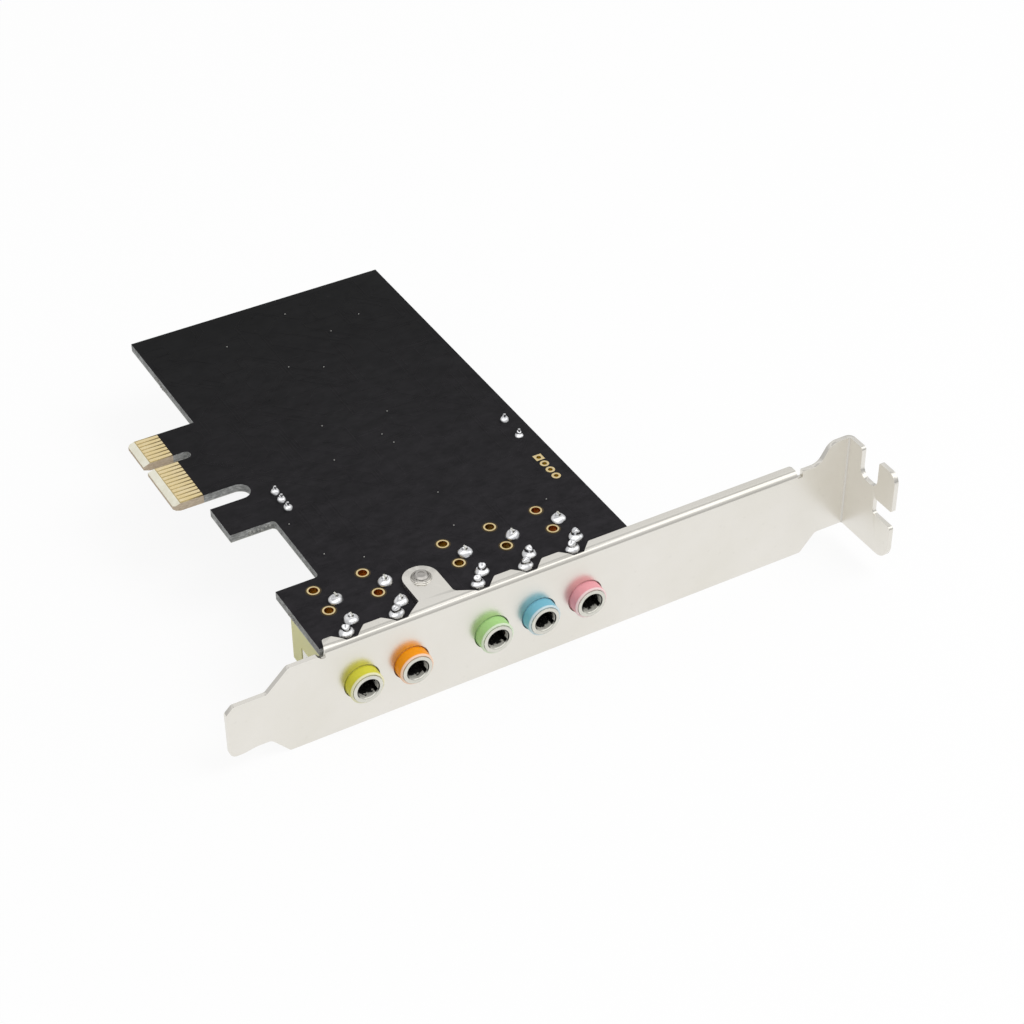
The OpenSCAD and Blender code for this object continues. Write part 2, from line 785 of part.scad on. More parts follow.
// Raised collar that holds the screw's thread
module thread_collar() {
  fillet = collar_h / 4;
  rotate_extrude() polygon([
    [0, -sheet_t], [collar_r, -sheet_t], [collar_r + fillet, 0],
    [collar_r, fillet], [collar_r, collar_h - fillet],
    [collar_r - fillet, collar_h], [0, collar_h]]);
}

module bracket() {
  color([0.83, 0.82, 0.79]) translate([-tip_to_edge, face_y, lip_top]) difference() {
    union() {
      difference() {
        translate([0, sheet_t, 0]) rotate([90, 0, 0]) linear_extrude(sheet_t) bracket_face();
        for (i = [0:JACKS - 1])
          translate([jack_x(i) + tip_to_edge, sheet_t / 2, jack_z - lip_top])
            rotate([90, 0, 0])
              cylinder(sheet_t + 2 * cut, nose_r + nose_gap, nose_r + nose_gap, center = true);
      }
      intersection() {
        lip_stock();
        translate([0, 0, -bend_out]) linear_extrude(bend_out) lip_outline();
      }
      intersection() {
        tab_stock();
        translate([bracket_l - bend_out, 0, 0]) rotate([90, 0, 90])
          linear_extrude(bend_out + cut) tab_outline();
      }
      translate([ear_along, ear_out, 0]) thread_collar();
    }
    translate([ear_along, ear_out, 0])
      cylinder(2 * (collar_h + sheet_t + cut), screw_r + screw_gap, screw_r + screw_gap, center = true);
  }
}

// Pan-head screw, in from the component face and through the collar
module bracket_screw() {
  reach = collar_top - component_z + screw_out;
  tip = screw_r / 5;
  recess = screw_head_h / 2;
  dome = screw_head_h / 4;
  color([0.7, 0.7, 0.72]) translate([ear_x(), ear_y(), component_z]) difference() {
    union() {
      cylinder(reach - tip, screw_r, screw_r);
      translate([0, 0, reach - tip]) cylinder(tip, screw_r, screw_r - tip);
      rotate_extrude() polygon([
        [0, 0], [screw_head_r, 0], [screw_head_r, dome - screw_head_h],
        [screw_head_r - dome, -screw_head_h], [0, -screw_head_h]]);
    }
    for (a = [0, 90]) translate([0, 0, -screw_head_h]) rotate([0, 0, a])
      cube([screw_head_r * 4 / 3, screw_r / 3, 2 * recess], center = true);
    translate([0, 0, reach]) cylinder(tip, screw_r / 2, screw_r / 2, center = true);
  }
}

// Jack: drawn with its axis along Y and the bracket's outer face at y = 0
module at_jack(i) {
  translate([jack_x(i), face_y, jack_z]) children();
}

module along_y(y0, y1, r) {
  translate([0, y0, 0]) rotate([-90, 0, 0]) cylinder(y1 - y0, r, r);
}

// Moulded housing with its nose, cavity, pin slots and side window
module jack_housing() {
  half = housing_w / 2;
  low = housing_top - housing_h;
  r = housing_edge_r;
  pin_slot = strip_t + 2 * fit_gap;
  foot_h = standoff;
  difference() {
    union() {
      translate([0, (housing_start + housing_end) / 2, 0])
        across_y(housing_end - housing_start)
          outline([[-half, low, r], [half, low, r], [half, housing_top, r], [-half, housing_top, r]]);
      translate([0, housing_start, 0]) rotate([90, 0, 0]) rotate_extrude() polygon([
        [0, -fit_gap], [nose_r, -fit_gap], [nose_r, nose_l + housing_start - mouth_chamfer],
        [nose_r - mouth_chamfer, nose_l + housing_start], [0, nose_l + housing_start]]);
      for (y = [housing_start + foot_h, housing_end - housing_wall - foot_h], s = [-1, 1])
        translate([s * (half - housing_wall), y + housing_wall / 2, housing_top - r])
          centred_box(housing_wall, housing_wall, foot_h + r);
    }
    along_y(-nose_l - cut, bush_end + cut, bush_r);
    translate([-cavity_w / 2, bush_end, cavity_low])
      cube([cavity_w, housing_end - bush_end + cut, cavity_top - cavity_low]);
    translate([front_pin_x - pin_slot / 2, front_pin_y - pin_w / 2 - fit_gap, 0])
      cube([pin_slot, pin_w + 2 * fit_gap, housing_top + cut]);
    for (y = [ring_pin_y, tip_pin_y])
      translate([spring_pin_x - pin_slot / 2, y - spring_w / 2 - fit_gap, 0])
        cube([pin_slot, spring_w + 2 * fit_gap, housing_top + cut]);
    translate([-half - cut, window_start, -window_h])
      cube([housing_wall + 2 * cut, window_l, window_h - window_drop]);
  }
}

// Sleeve contact: the bright tube in the nose, its pin, and its arm behind the window
module jack_sleeve_contact() {
  mouth = nose_l + bush_out;
  inner_x = fit_gap - cavity_w / 2;
  arm_h = window_h + housing_wall / 2;
  difference() {
    union() {
      translate([0, bush_end, 0]) rotate([90, 0, 0]) rotate_extrude() polygon([
        [bore_r, 0], [bush_r, 0], [bush_r, bush_end + mouth],
        [bore_r + mouth_chamfer, bush_end + mouth], [bore_r, bush_end + mouth - mouth_chamfer]]);
      translate([front_pin_x - strip_t / 2, front_pin_y - pin_w / 2, (bore_r + bush_r) / 2])
        cube([strip_t, pin_w, pin_top - (bore_r + bush_r) / 2]);
      translate([inner_x, bush_end, -arm_h]) {
        cube([-bore_r - strip_t / 3 - inner_x, strip_t, arm_h]);
        cube([strip_t, window_start + window_l + housing_wall - bush_end, arm_h]);
      }
    }
    translate([0, mouth_chamfer - mouth, -slit_w / 2])
      rotate([0, 35, 0]) cube([bush_r + cut, bush_end + mouth + cut, slit_w]);
  }
}

// Contact spring: a bent strip that bows in to touch the plug
module jack_spring(y) {
  shelf = cavity_top - strip_t;
  translate([0, y, 0]) {
    across_y(spring_w) strip([
      [spring_pin_x, housing_top],
      [spring_pin_x, shelf],
      [spring_wall_x, shelf - strip_t],
      [spring_wall_x, bore_r],
      [spring_touch_x, 0],
      [spring_wall_x, -bore_r]], strip_t);
    translate([spring_pin_x - strip_t / 2, -pin_w / 2, housing_top])
      cube([strip_t, pin_w, pin_top - housing_top]);
  }
}

// Cover that closes the back of the housing, with a gripping ridge
module jack_back_cover() {
  l = cavity_w - 2 * fit_gap;
  h = cavity_top - cavity_low - 2 * fit_gap;
  mid = (cavity_top + cavity_low) / 2;
  ridge = cover_t / 4;
  translate([0, housing_end - cover_t / 2, mid]) {
    across_y(cover_t) square([l, h], center = true);
    translate([0, cover_t / 2, 0]) across_y(2 * ridge) square([l / 2, h / 2], center = true);
  }
}

module coloured(i) {
  colours = [[0.82, 0.82, 0.3], [0.96, 0.6, 0.14], [0.5, 0.78, 0.47],
             [0.55, 0.78, 0.9], [0.95, 0.63, 0.7]];
  color(colours[i]) at_jack(i) children();
}

module metal_in_jack(i) {
  color([0.8, 0.8, 0.78]) at_jack(i) children();
}

module dark_in_jack(i) {
  color([0.13, 0.13, 0.13]) at_jack(i) children();
}

// Flat pack's body, with bevelled ends and a dimple beside its first lead
module pack_body(l, w, t) {
  bevel = t / 3;
  shift = dimple_r * 2;
  difference() {
    translate([0, 0, pack_gap]) intersection() {
      across_y(w) polygon([
        [-l / 2 + bevel / 2, 0], [l / 2 - bevel / 2, 0], [l / 2, t / 2],
        [l / 2 - bevel / 2, t], [bevel / 2 - l / 2, t], [-l / 2, t / 2]]);
      rotate([0, 0, 90]) across_y(l) polygon([
        [-w / 2 + bevel / 2, 0], [w / 2 - bevel / 2, 0], [w / 2, t / 2],
        [w / 2 - bevel / 2, t], [bevel / 2 - w / 2, t], [-w / 2, t / 2]]);
    }
    translate([shift - l / 2, shift - w / 2, pack_gap + t - dimple_d])
      cylinder(dimple_d + cut, dimple_r, dimple_r);
  }
}

// Gull-wing lead that starts at the body's side, at x = 0
module gull_lead(width, t, reach, foot, mid) {
  across_y(width) strip([
    [0, mid],
    [(reach - foot) / 3, mid],
    [reach - foot, t / 2],
    [reach, t / 2]], t);
}

// Row of leads along one side of a pack
module lead_row(count, pitch, side, width, t, reach, foot, mid) {
  for (k = [0:count - 1])
    translate([side, (k - (count - 1) / 2) * pitch, 0])
      gull_lead(width, t, reach, foot, mid);
}

function leads_along(l) = floor((l - 2 * pack_pitch) / pack_pitch) - 1;

module pack_leads(l, w) {
  mid = pack_gap + pack_t / 2;
  for (s = [0, 180]) rotate([0, 0, s])
    lead_row(leads_along(w), pack_pitch, l / 2, pack_lead_w, pack_lead_t,
      pack_reach, pack_foot, mid);
  for (s = [90, 270]) rotate([0, 0, s])
    lead_row(leads_along(l), pack_pitch, w / 2, pack_lead_w, pack_lead_t,
      pack_reach, pack_foot, mid);
}

module audio_chip() {
  color([0.12, 0.12, 0.13]) on_component_face(audio_x, audio_y) pack_body(audio_l, audio_w, pack_t);
}

module audio_chip_leads() {
  color([0.75, 0.75, 0.75]) on_component_face(audio_x, audio_y) pack_leads(audio_l, audio_w);
}

module bridge_chip() {
  color([0.12, 0.12, 0.13])
    on_component_face(bridge_x, bridge_y) pack_body(bridge_w, bridge_w, pack_t);
}

module bridge_chip_leads() {
  color([0.75, 0.75, 0.75]) on_component_face(bridge_x, bridge_y) pack_leads(bridge_w, bridge_w);
}

module memory_chip() {
  color([0.12, 0.12, 0.13])
    on_component_face(memory_x, memory_y) pack_body(memory_w, memory_l, pack_t);
}

module memory_chip_leads() {
  color([0.75, 0.75, 0.75]) on_component_face(memory_x, memory_y)
    for (s = [0, 180]) rotate([0, 0, s])
      lead_row(4, memory_pitch, memory_w / 2, memory_lead_w, pack_lead_t,
        pack_reach, pack_foot, pack_gap + pack_t / 2);
}

// Power regulators: one beside the audio chip, one beside the supply capacitors
module at_regulators() {
  on_component_face(first_can + regulator_w, audio_y, 180) children();
  on_component_face(memory_x - regulator_w / 2, supply_y) children();
}

module power_regulators() {
  color([0.12, 0.12, 0.13]) at_regulators() pack_body(regulator_w, regulator_l, regulator_t);
}

module power_regulator_leads() {
  mid = pack_gap + regulator_t / 2;
  thick = 2 * pack_lead_t;
  color([0.75, 0.75, 0.75]) at_regulators() {
    lead_row(3, regulator_pitch, regulator_w / 2, regulator_lead_w, thick,
      pack_reach * 3 / 2, pack_foot * 2, mid);
    rotate([0, 0, 180]) lead_row(1, regulator_pitch, regulator_w / 2, regulator_tab_w, thick,
      pack_reach * 3 / 2, pack_foot * 2, mid);
  }
}

// Three-lead regulator, laid over with its flat towards the board
module at_transistor() {
  on_component_face(transistor_x, face_y + transistor_from_face) children();
}

module voltage_regulator() {
  flat_z = transistor_gap / 8;
  color([0.12, 0.12, 0.13]) at_transistor()
    translate([transistor_gap, 0, flat_z + transistor_flat]) rotate([0, 90, 0]) difference() {
      cylinder(transistor_h, transistor_r, transistor_r);
      translate([transistor_flat, -transistor_r - cut, -cut])
        cube([transistor_r, 2 * (transistor_r + cut), transistor_h + 2 * cut]);
    }
}

module voltage_regulator_leads() {
  pin = board_t + pin_out;
  rise = transistor_gap / 8 + transistor_flat;
  color([0.8, 0.8, 0.8]) at_transistor() for (k = [-1:1]) {
    translate([0, k * transistor_spread, -pin]) cylinder(pin + rise, lead_r, lead_r);
    translate([0, 0, rise - lead_r]) linear_extrude(2 * lead_r) strip([
      [-lead_r, k * transistor_spread],
      [transistor_gap / 3, k * transistor_spread],
      [transistor_gap * 2 / 3, k * transistor_pitch],
      [transistor_gap, k * transistor_pitch]], 2 * lead_r);
  }
}

// Crystal in its pressed can, and its two leads
module stadium(l, w) {
  square([l - w, w], center = true);
  for (s = [-1, 1]) translate([s * (l - w) / 2, 0]) circle(w / 2);
}

module at_crystal() {
  on_component_face(crystal_x, face_y + crystal_from_face, 90) children();
}

module crystal_can() {
  flange_l = crystal_l + 2 * crystal_flange;
  flange_w = crystal_w + 2 * crystal_flange;
  color([0.78, 0.78, 0.77]) at_crystal() translate([0, 0, crystal_gap]) {
    linear_extrude(flange_t) stadium(flange_l, flange_w);
    linear_extrude(crystal_h - flange_t) stadium(crystal_l, crystal_w);
    linear_extrude(crystal_h) stadium(crystal_l - flange_t, crystal_w - flange_t);
  }
}

module crystal_leads() {
  pin = board_t + pin_out;
  color([0.8, 0.8, 0.8]) at_crystal() for (s = [-1, 1])
    translate([s * crystal_pitch / 2, 0, -pin]) cylinder(pin + crystal_gap, lead_r, lead_r);
}

module oscillator_base() {
  color([0.35, 0.3, 0.26]) on_component_face(oscillator_x, oscillator_y)
    centred_box(oscillator_l, oscillator_w, oscillator_h);
}

module oscillator_lid() {
  r = lid_rim;
  half_l = oscillator_l / 2 - lid_rim;
  half_w = oscillator_w / 2 - lid_rim;
  color([0.8, 0.79, 0.75]) on_component_face(oscillator_x, oscillator_y)
    translate([0, 0, oscillator_h]) linear_extrude(lid_h)
      outline([[-half_l, -half_w, r], [half_l, -half_w, r], [half_l, half_w, r], [-half_l, half_w, r]]);
}

// Electrolytic capacitors: a row behind the jacks and three at the supply
module at_output_cans() {
  for (k = [0:output_cans - 1]) on_component_face(first_can + k * can_pitch, can_zone_y) children();
}

module at_supply_cans() {
  for (k = [0:2]) on_component_face(first_supply + k * supply_pitch, supply_y) children();
}

// Can with a crimped neck above its base and a rounded rim
module can(r, h) {
  crimp = r / 12;
  neck = base_h + r / 4;
  rotate_extrude() polygon([
    [0, base_h], [r, base_h], [r, neck - crimp], [r - crimp, neck], [r, neck + crimp],
    [r, h - crimp], [r - crimp, h], [0, h]]);
}

module capacitor_cans() {
  color([0.8, 0.8, 0.81]) {
    at_output_cans() can(can_r, can_h);
    at_supply_cans() can(supply_can_r, supply_can_h);
  }
}

// Square base with two cut corners, on top of its terminals
module can_base(r) {
  half = r + base_rim;
  cut_off = half / 3;
  translate([0, 0, terminal_t]) linear_extrude(base_h - terminal_t) polygon([
    [-half, -half], [half - cut_off, -half], [half, cut_off - half],
    [half, half - cut_off], [half - cut_off, half], [-half, half]]);
}

module capacitor_bases() {
  color([0.11, 0.11, 0.11]) {
    at_output_cans() can_base(can_r);
    at_supply_cans() can_base(supply_can_r);
  }
}

// Flat terminals below a base, out at both sides
module can_terminals(r) {
  for (s = [-1, 1]) translate([s * (r + base_rim) * 3 / 4, 0, 0])
    centred_box((r + base_rim) * 2 / 3, r / 4, terminal_t);
}

module capacitor_terminals() {
  color([0.78, 0.78, 0.77]) {
    at_output_cans() can_terminals(can_r);
    at_supply_cans() can_terminals(supply_can_r);
  }
}

// Chip parts: rows round the packs and behind the jacks
module chip_row(count, x, y, turn = 0) {
  for (k = [0:count - 1])
    on_component_face(x, y, turn) translate([0, (k - (count - 1) / 2) * chip_pitch, 0]) children();
}

// Places beside each jack that lie on the board
jack_chip_x = [for (i = [0:JACKS - 1], s = [-1, 1])
  let (x = jack_x(i) + s * jack_pitch / 5 + chip_pitch)
  if (x > shoulder_near_h + chip_w) x];

module at_resistors() {
  for (x = jack_chip_x) on_component_face(x, chip_zone_y, 90) children();
  chip_row(6, audio_x + audio_l / 2 + row_gap, audio_y) children();
  chip_row(5, memory_x - memory_w / 2 - 2 * row_gap, memory_y) children();
}

module at_capacitors() {
  for (x = jack_chip_x) on_component_face(x, chip_zone_y + 2 * chip_l, 90) children();
  chip_row(8, audio_x, audio_y - audio_w / 2 - row_gap, 90) children();
  chip_row(5, bridge_x - bridge_w / 2 - row_gap, bridge_y) children();
  chip_row(6, bridge_x, bridge_y + bridge_w / 2 + row_gap, 90) children();
}

module chip_body(t) {
  centred_box(chip_l - 2 * end_cap, chip_w, t);
}

module chip_ends(t) {
  for (s = [-1, 1]) translate([s * (chip_l - end_cap) / 2, 0, 0])
    centred_box(end_cap, chip_w + 2 * end_plate, t + end_plate);
}

module chip_resistors() {
  color([0.1, 0.1, 0.1]) at_resistors() chip_body(resistor_t);
}

module chip_capacitors() {
  color([0.62, 0.5, 0.36]) at_capacitors() chip_body(capacitor_t);
}

module chip_end_caps() {
  color([0.8, 0.8, 0.8]) {
    at_resistors() chip_ends(resistor_t);
    at_capacitors() chip_ends(capacitor_t);
  }
}

circuit_board();
edge_contacts();
plated_holes();
solder_joints();
bracket();
bracket_screw();
coloured(0) jack_housing();  // yellow_jack_housing
coloured(1) jack_housing();  // orange_jack_housing
coloured(2) jack_housing();  // green_jack_housing
coloured(3) jack_housing();  // blue_jack_housing
coloured(4) jack_housing();  // pink_jack_housing
metal_in_jack(0) jack_sleeve_contact();  // yellow_jack_sleeve_contact
metal_in_jack(1) jack_sleeve_contact();  // orange_jack_sleeve_contact
metal_in_jack(2) jack_sleeve_contact();  // green_jack_sleeve_contact
metal_in_jack(3) jack_sleeve_contact();  // blue_jack_sleeve_contact
metal_in_jack(4) jack_sleeve_contact();  // pink_jack_sleeve_contact
metal_in_jack(0) jack_spring(ring_pin_y);  // yellow_jack_ring_spring
metal_in_jack(1) jack_spring(ring_pin_y);  // orange_jack_ring_spring
metal_in_jack(2) jack_spring(ring_pin_y);  // green_jack_ring_spring
metal_in_jack(3) jack_spring(ring_pin_y);  // blue_jack_ring_spring
metal_in_jack(4) jack_spring(ring_pin_y);  // pink_jack_ring_spring
metal_in_jack(0) jack_spring(tip_pin_y);  // yellow_jack_tip_spring
metal_in_jack(1) jack_spring(tip_pin_y);  // orange_jack_tip_spring
metal_in_jack(2) jack_spring(tip_pin_y);  // green_jack_tip_spring
metal_in_jack(3) jack_spring(tip_pin_y);  // blue_jack_tip_spring
metal_in_jack(4) jack_spring(tip_pin_y);  // pink_jack_tip_spring
dark_in_jack(0) jack_back_cover();  // yellow_jack_back_cover
dark_in_jack(1) jack_back_cover();  // orange_jack_back_cover
dark_in_jack(2) jack_back_cover();  // green_jack_back_cover
dark_in_jack(3) jack_back_cover();  // blue_jack_back_cover
dark_in_jack(4) jack_back_cover();  // pink_jack_back_cover
audio_chip();
audio_chip_leads();
bridge_chip();
bridge_chip_leads();
memory_chip();
memory_chip_leads();
power_regulators();
power_regulator_leads();
voltage_regulator();
voltage_regulator_leads();
crystal_can();
crystal_leads();
oscillator_base();
oscillator_lid();
capacitor_cans();
capacitor_bases();
capacitor_terminals();
chip_resistors();
chip_capacitors();
chip_end_caps();
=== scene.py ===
"""Looks of a sound card, lying with its solder side up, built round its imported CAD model."""
import math
import random

import bpy
from mathutils import Matrix, Vector


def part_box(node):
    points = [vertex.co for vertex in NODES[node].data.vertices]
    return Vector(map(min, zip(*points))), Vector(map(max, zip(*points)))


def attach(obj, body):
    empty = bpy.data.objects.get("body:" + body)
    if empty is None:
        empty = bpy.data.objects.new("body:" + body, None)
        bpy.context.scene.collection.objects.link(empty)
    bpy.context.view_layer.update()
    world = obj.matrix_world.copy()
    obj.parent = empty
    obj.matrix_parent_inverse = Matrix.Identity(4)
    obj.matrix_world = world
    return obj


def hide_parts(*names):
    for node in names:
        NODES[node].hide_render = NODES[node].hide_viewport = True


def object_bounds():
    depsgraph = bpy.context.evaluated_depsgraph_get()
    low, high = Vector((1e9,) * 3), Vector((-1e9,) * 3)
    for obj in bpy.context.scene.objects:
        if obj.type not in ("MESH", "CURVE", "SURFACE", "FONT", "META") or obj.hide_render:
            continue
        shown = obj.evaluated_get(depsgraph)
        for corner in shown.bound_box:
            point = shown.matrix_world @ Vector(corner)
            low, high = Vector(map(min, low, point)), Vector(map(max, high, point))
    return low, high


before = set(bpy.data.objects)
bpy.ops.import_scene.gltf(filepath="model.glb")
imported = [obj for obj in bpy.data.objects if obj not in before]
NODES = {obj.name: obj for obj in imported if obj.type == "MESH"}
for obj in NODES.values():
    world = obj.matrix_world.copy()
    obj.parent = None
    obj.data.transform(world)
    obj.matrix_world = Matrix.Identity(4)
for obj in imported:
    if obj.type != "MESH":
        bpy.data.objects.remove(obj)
CAD_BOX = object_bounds()
MM = 0.001
JACKS = ("yellow", "orange", "green", "blue", "pink")

# Places in millimetres, as in the CAD model. X runs from the connector's leading edge across the
# board, Y along the board away from the bracket, and Z up, from the middle of the board.
TOP_Z = 0.785
LOW_Z = -TOP_Z
BOARD_RIGHT = 63.9
BOARD_FAR = 36.7
BOARD_NEAR_Y = -57.65
SHOULDER_FAR_X = 12.7
SHOULDER_NEAR_X = 13.2
WING_X = 5.3
WING_END_Y = -41.45
TAB_FAR_Y = 8.15
TAB_NEAR_Y = -12.15
LEG_FAR_Y = -16.25
LEG_NEAR_Y = -24.45
LEG_X = 5.0
SLOT_END_X = 13.3
KEY_END_X = 8.6
KEY_HALF = 0.95
# End of the solder mask and of the bevel on the connector's tab
MASK_X = 5.6
BEVEL_X = 1.25
# Outer face of the bracket, and ends of the jacks' noses
FACE_Y = -59.05
NOSE_Y = -61.15
# Thickness of the bracket's sheet, and height of its thread collar
SHEET = 0.86
COLLAR_H = 0.35
JACK_X = dict(zip(JACKS, (11.75, 20.75, 35.75, 44.75, 53.75)))
JACK_Z = -7.865
# Cavity in a housing that the springs sit in, from the jack's axis and the bracket's face
CAVITY_HALF = 3.62
CAVITY_Y = (4.15, 17.1)
CAVITY_Z = (-13.6, -2.4)
# Limits, as radii, of the bore through a housing, of the sleeve's bore and of the chamfer in its mouth
HOUSING_BORE_R = 2.66
SLEEVE_BORE_R = 1.82
MOUTH_R = (1.84, 2.04)
# Between the jacks' open holes and the header's, from the bracket's face
HEADER_Y = (17.5, 18.0)
EAR_X, EAR_Y = 27.05, -51.15


# Node helper
class Graph:
    """Short ways to write the nodes of one material."""

    def __init__(self, name):
        self.mat = bpy.data.materials.new(name)
        self.mat.use_nodes = True
        self.tree = self.mat.node_tree
        self.tree.nodes.clear()
        self.out = self.tree.nodes.new("ShaderNodeOutputMaterial")
        self.place = self.node("ShaderNodeTexCoord").outputs["Object"]

    def node(self, kind, inputs=(), **settings):
        n = self.tree.nodes.new(kind)
        for key, value in settings.items():
            setattr(n, key, value)
        for key, value in dict(inputs).items():
            self.put(n.inputs[key], value)
        return n

    def put(self, socket, value):
        """Links a socket, or sets a constant on it."""
        if isinstance(value, bpy.types.NodeSocket):
            self.tree.links.new(value, socket)
        elif isinstance(value, tuple) and len(value) == 3 and socket.type == "RGBA":
            socket.default_value = (*value, 1)
        else:
            socket.default_value = value

    def math(self, op, a, b=0.0):
        return self.node("ShaderNodeMath", {0: a, 1: b}, operation=op).outputs[0]

    def scaled(self, factors):
        return self.node("ShaderNodeVectorMath", {0: self.place, 1: factors}, operation="MULTIPLY").outputs[0]

    def noise(self, scale, detail=3.0, roughness=0.55, source=None):
        n = self.node("ShaderNodeTexNoise", {"Vector": source or self.place, "Scale": scale,
                                             "Detail": detail, "Roughness": roughness})
        return n.outputs["Fac"]

    def spots(self, scale):
        """Distance to the nearest of many scattered points."""
        return self.node("ShaderNodeTexVoronoi", {"Vector": self.place, "Scale": scale}).outputs["Distance"]

    def ramp(self, value, low, high, start=0.0, end=1.0):
        """Runs from start at low to end at high, and stays level beyond them."""
        return self.node("ShaderNodeMapRange", {0: value, 1: low, 2: high, 3: start, 4: end},
                         clamp=True).outputs[0]

    def mix(self, factor, a, b):
        """Color a where factor is 0, b where it is 1."""
        n = self.node("ShaderNodeMix", {0: factor, 6: a, 7: b}, data_type="RGBA")
        return n.outputs[2]

    def axes(self, vector=None):
        """The three parts of a vector, or of the place in metres."""
        outputs = self.node("ShaderNodeSeparateXYZ", {0: vector or self.place}).outputs
        return outputs[0], outputs[1], outputs[2]

    def facing(self):
        """The three parts of the surface's normal."""
        return self.axes(self.node("ShaderNodeNewGeometry").outputs["Normal"])

    def distance(self, a, b):
        """Length of a step of a one way and b across."""
        squares = self.math("ADD", self.math("MULTIPLY", a, a), self.math("MULTIPLY", b, b))
        return self.math("SQRT", squares)

    def band(self, value, low, high, soft=0.00002):
        """1 between low and high, 0 outside."""
        return self.math("MULTIPLY", self.ramp(value, low - soft, low + soft),
                         self.ramp(value, high - soft, high + soft, 1.0, 0.0))

    def flatness(self):
        """1 where the surface faces up or down, 0 on its sides."""
        return self.ramp(self.math("ABSOLUTE", self.facing()[2]), 0.7, 0.75)

    def bump(self, height, distance, strength=1.0, below=None):
        given = {"Height": height, "Distance": distance, "Strength": strength}
        if below is not None:
            given["Normal"] = below
        return self.node("ShaderNodeBump", given).outputs[0]

    def surface(self, **values):
        """Ends the material with one shader, and gives the material back."""
        names = {"color": "Base Color", "rough": "Roughness", "metal": "Metallic", "normal": "Normal",
                 "specular": "Specular IOR Level"}
        shader = self.node("ShaderNodeBsdfPrincipled", {names[k]: v for k, v in values.items()})
        self.tree.links.new(shader.outputs[0], self.out.inputs[0])
        return self.mat


# Materials
def shaded(tone, share):
    """A tone made darker or lighter."""
    return tuple(min(1.0, c * share) for c in tone)


def lacquer_with_painted_sheen(g, dark):
    """Black lacquer with random clouds and mottling, and painted sheen that makes it paler toward the bracket.
    """
    far_y, near_y = 36, -55
    # Painted sheen: a broad reflection drawn into the colour, lightening the lacquer toward the bracket
    near = g.ramp(g.axes()[1], far_y * MM, near_y * MM)
    cloud = g.ramp(g.noise(38, 4, 0.6), 0.35, 0.7)
    paint = g.mix(cloud, dark, shaded(dark, 1.5))
    paint = g.mix(near, paint, tuple(c * t for c, t in zip(dark, (3.5, 3.2, 3.5))))
    mottle = g.ramp(g.noise(520, 3, 0.7, source=g.scaled((0.6, 1.0, 1.0))), 0.32, 0.68)
    return g.mix(g.math("MULTIPLY", mottle, 0.5), paint, (0.0035, 0.0035, 0.004))


def copper_mask_material(name, dark):
    """The same lacquer, with its painted sheen, where it lies on copper."""
    g = Graph(name)
    grain = g.noise(900, 3)
    return g.surface(color=lacquer_with_painted_sheen(g, dark), rough=g.ramp(grain, 0.3, 0.7, 0.34, 0.46), specular=0.06,
                     normal=g.bump(grain, 0.000012, 0.4))


def mask_material(name, dark):
    """Black solder mask on glass laminate; bare laminate at the connector, grey sawn edges."""
    g = Graph(name)
    x, y, z = g.axes()
    flat = g.flatness()
    fibre = g.noise(1500, 4, 0.7, source=g.scaled((1.0, 1.0, 3.0)))

    # The tab is bare up to the mask's edge, which wanders a little
    wander = g.ramp(g.noise(900, 2), 0.0, 1.0, -0.05 * MM, 0.05 * MM)
    bare_x = g.ramp(g.math("ADD", x, wander), MASK_X * MM, (MASK_X + 0.06) * MM, 1.0, 0.0)
    bare = g.math("MULTIPLY", bare_x, g.ramp(y, (TAB_NEAR_Y - 1.0) * MM, (TAB_NEAR_Y - 0.9) * MM))

    # Faces: lacquer with dust and painted sheen, cream bevel, tan laminate between the contacts
    paint = lacquer_with_painted_sheen(g, dark)
    dust = g.math("MULTIPLY", g.ramp(g.spots(260), 0.0, 0.07, 1.0, 0.0), 0.3)
    paint = g.mix(dust, paint, (0.05, 0.05, 0.052))
    cream = g.mix(g.ramp(g.noise(700, 3), 0.3, 0.7), (0.83, 0.8, 0.65), (0.94, 0.92, 0.79))
    tan = g.mix(g.ramp(g.noise(700, 3), 0.3, 0.7), (0.42, 0.33, 0.15), (0.56, 0.46, 0.24))
    tan = g.mix(g.ramp(x, 2.6 * MM, MASK_X * MM), tan, (0.1, 0.072, 0.035))
    laminate = g.mix(g.ramp(x, (BEVEL_X - 0.02) * MM, (BEVEL_X + 0.05) * MM), cream, tan)
    faces = g.mix(bare, paint, laminate)

    # Sides: sawn laminate, ragged and pale along its lower edge
    ragged = g.ramp(g.noise(420, 4, 0.7), 0.42, 0.6)
    sawn = g.mix(g.ramp(fibre, 0.35, 0.65), (0.24, 0.245, 0.24), (0.56, 0.57, 0.565))
    sawn = g.mix(g.math("MULTIPLY", ragged, 0.4), sawn, (0.1, 0.1, 0.097))
    sawn = g.mix(g.ramp(z, (LOW_Z + 0.235) * MM, (LOW_Z + 0.005) * MM), sawn, (0.66, 0.67, 0.62))
    tab_side = g.mix(g.ramp(fibre, 0.3, 0.7), (0.5, 0.4, 0.29), (0.7, 0.6, 0.47))
    sides = g.mix(bare, sawn, tab_side)

    rough_face = g.math("ADD", g.ramp(g.noise(160, 3), 0.3, 0.7, 0.34, 0.46), g.math("MULTIPLY", bare, 0.12))
    rough = g.mix(flat, (0.8, 0.8, 0.8), rough_face)
    weave = g.noise(2600, 2, source=g.scaled((1.0, 0.25, 1.0)))
    height = g.math("ADD", g.math("MULTIPLY", weave, 0.35), g.math("MULTIPLY", g.noise(420, 2), 0.65))
    soft = g.bump(height, 0.00001, 0.5)
    normal = g.bump(g.math("MULTIPLY", fibre, g.math("SUBTRACT", 1.0, flat)), 0.00012, 0.9, soft)
    return g.surface(color=g.mix(flat, sides, faces), rough=rough, normal=normal, specular=0.06)


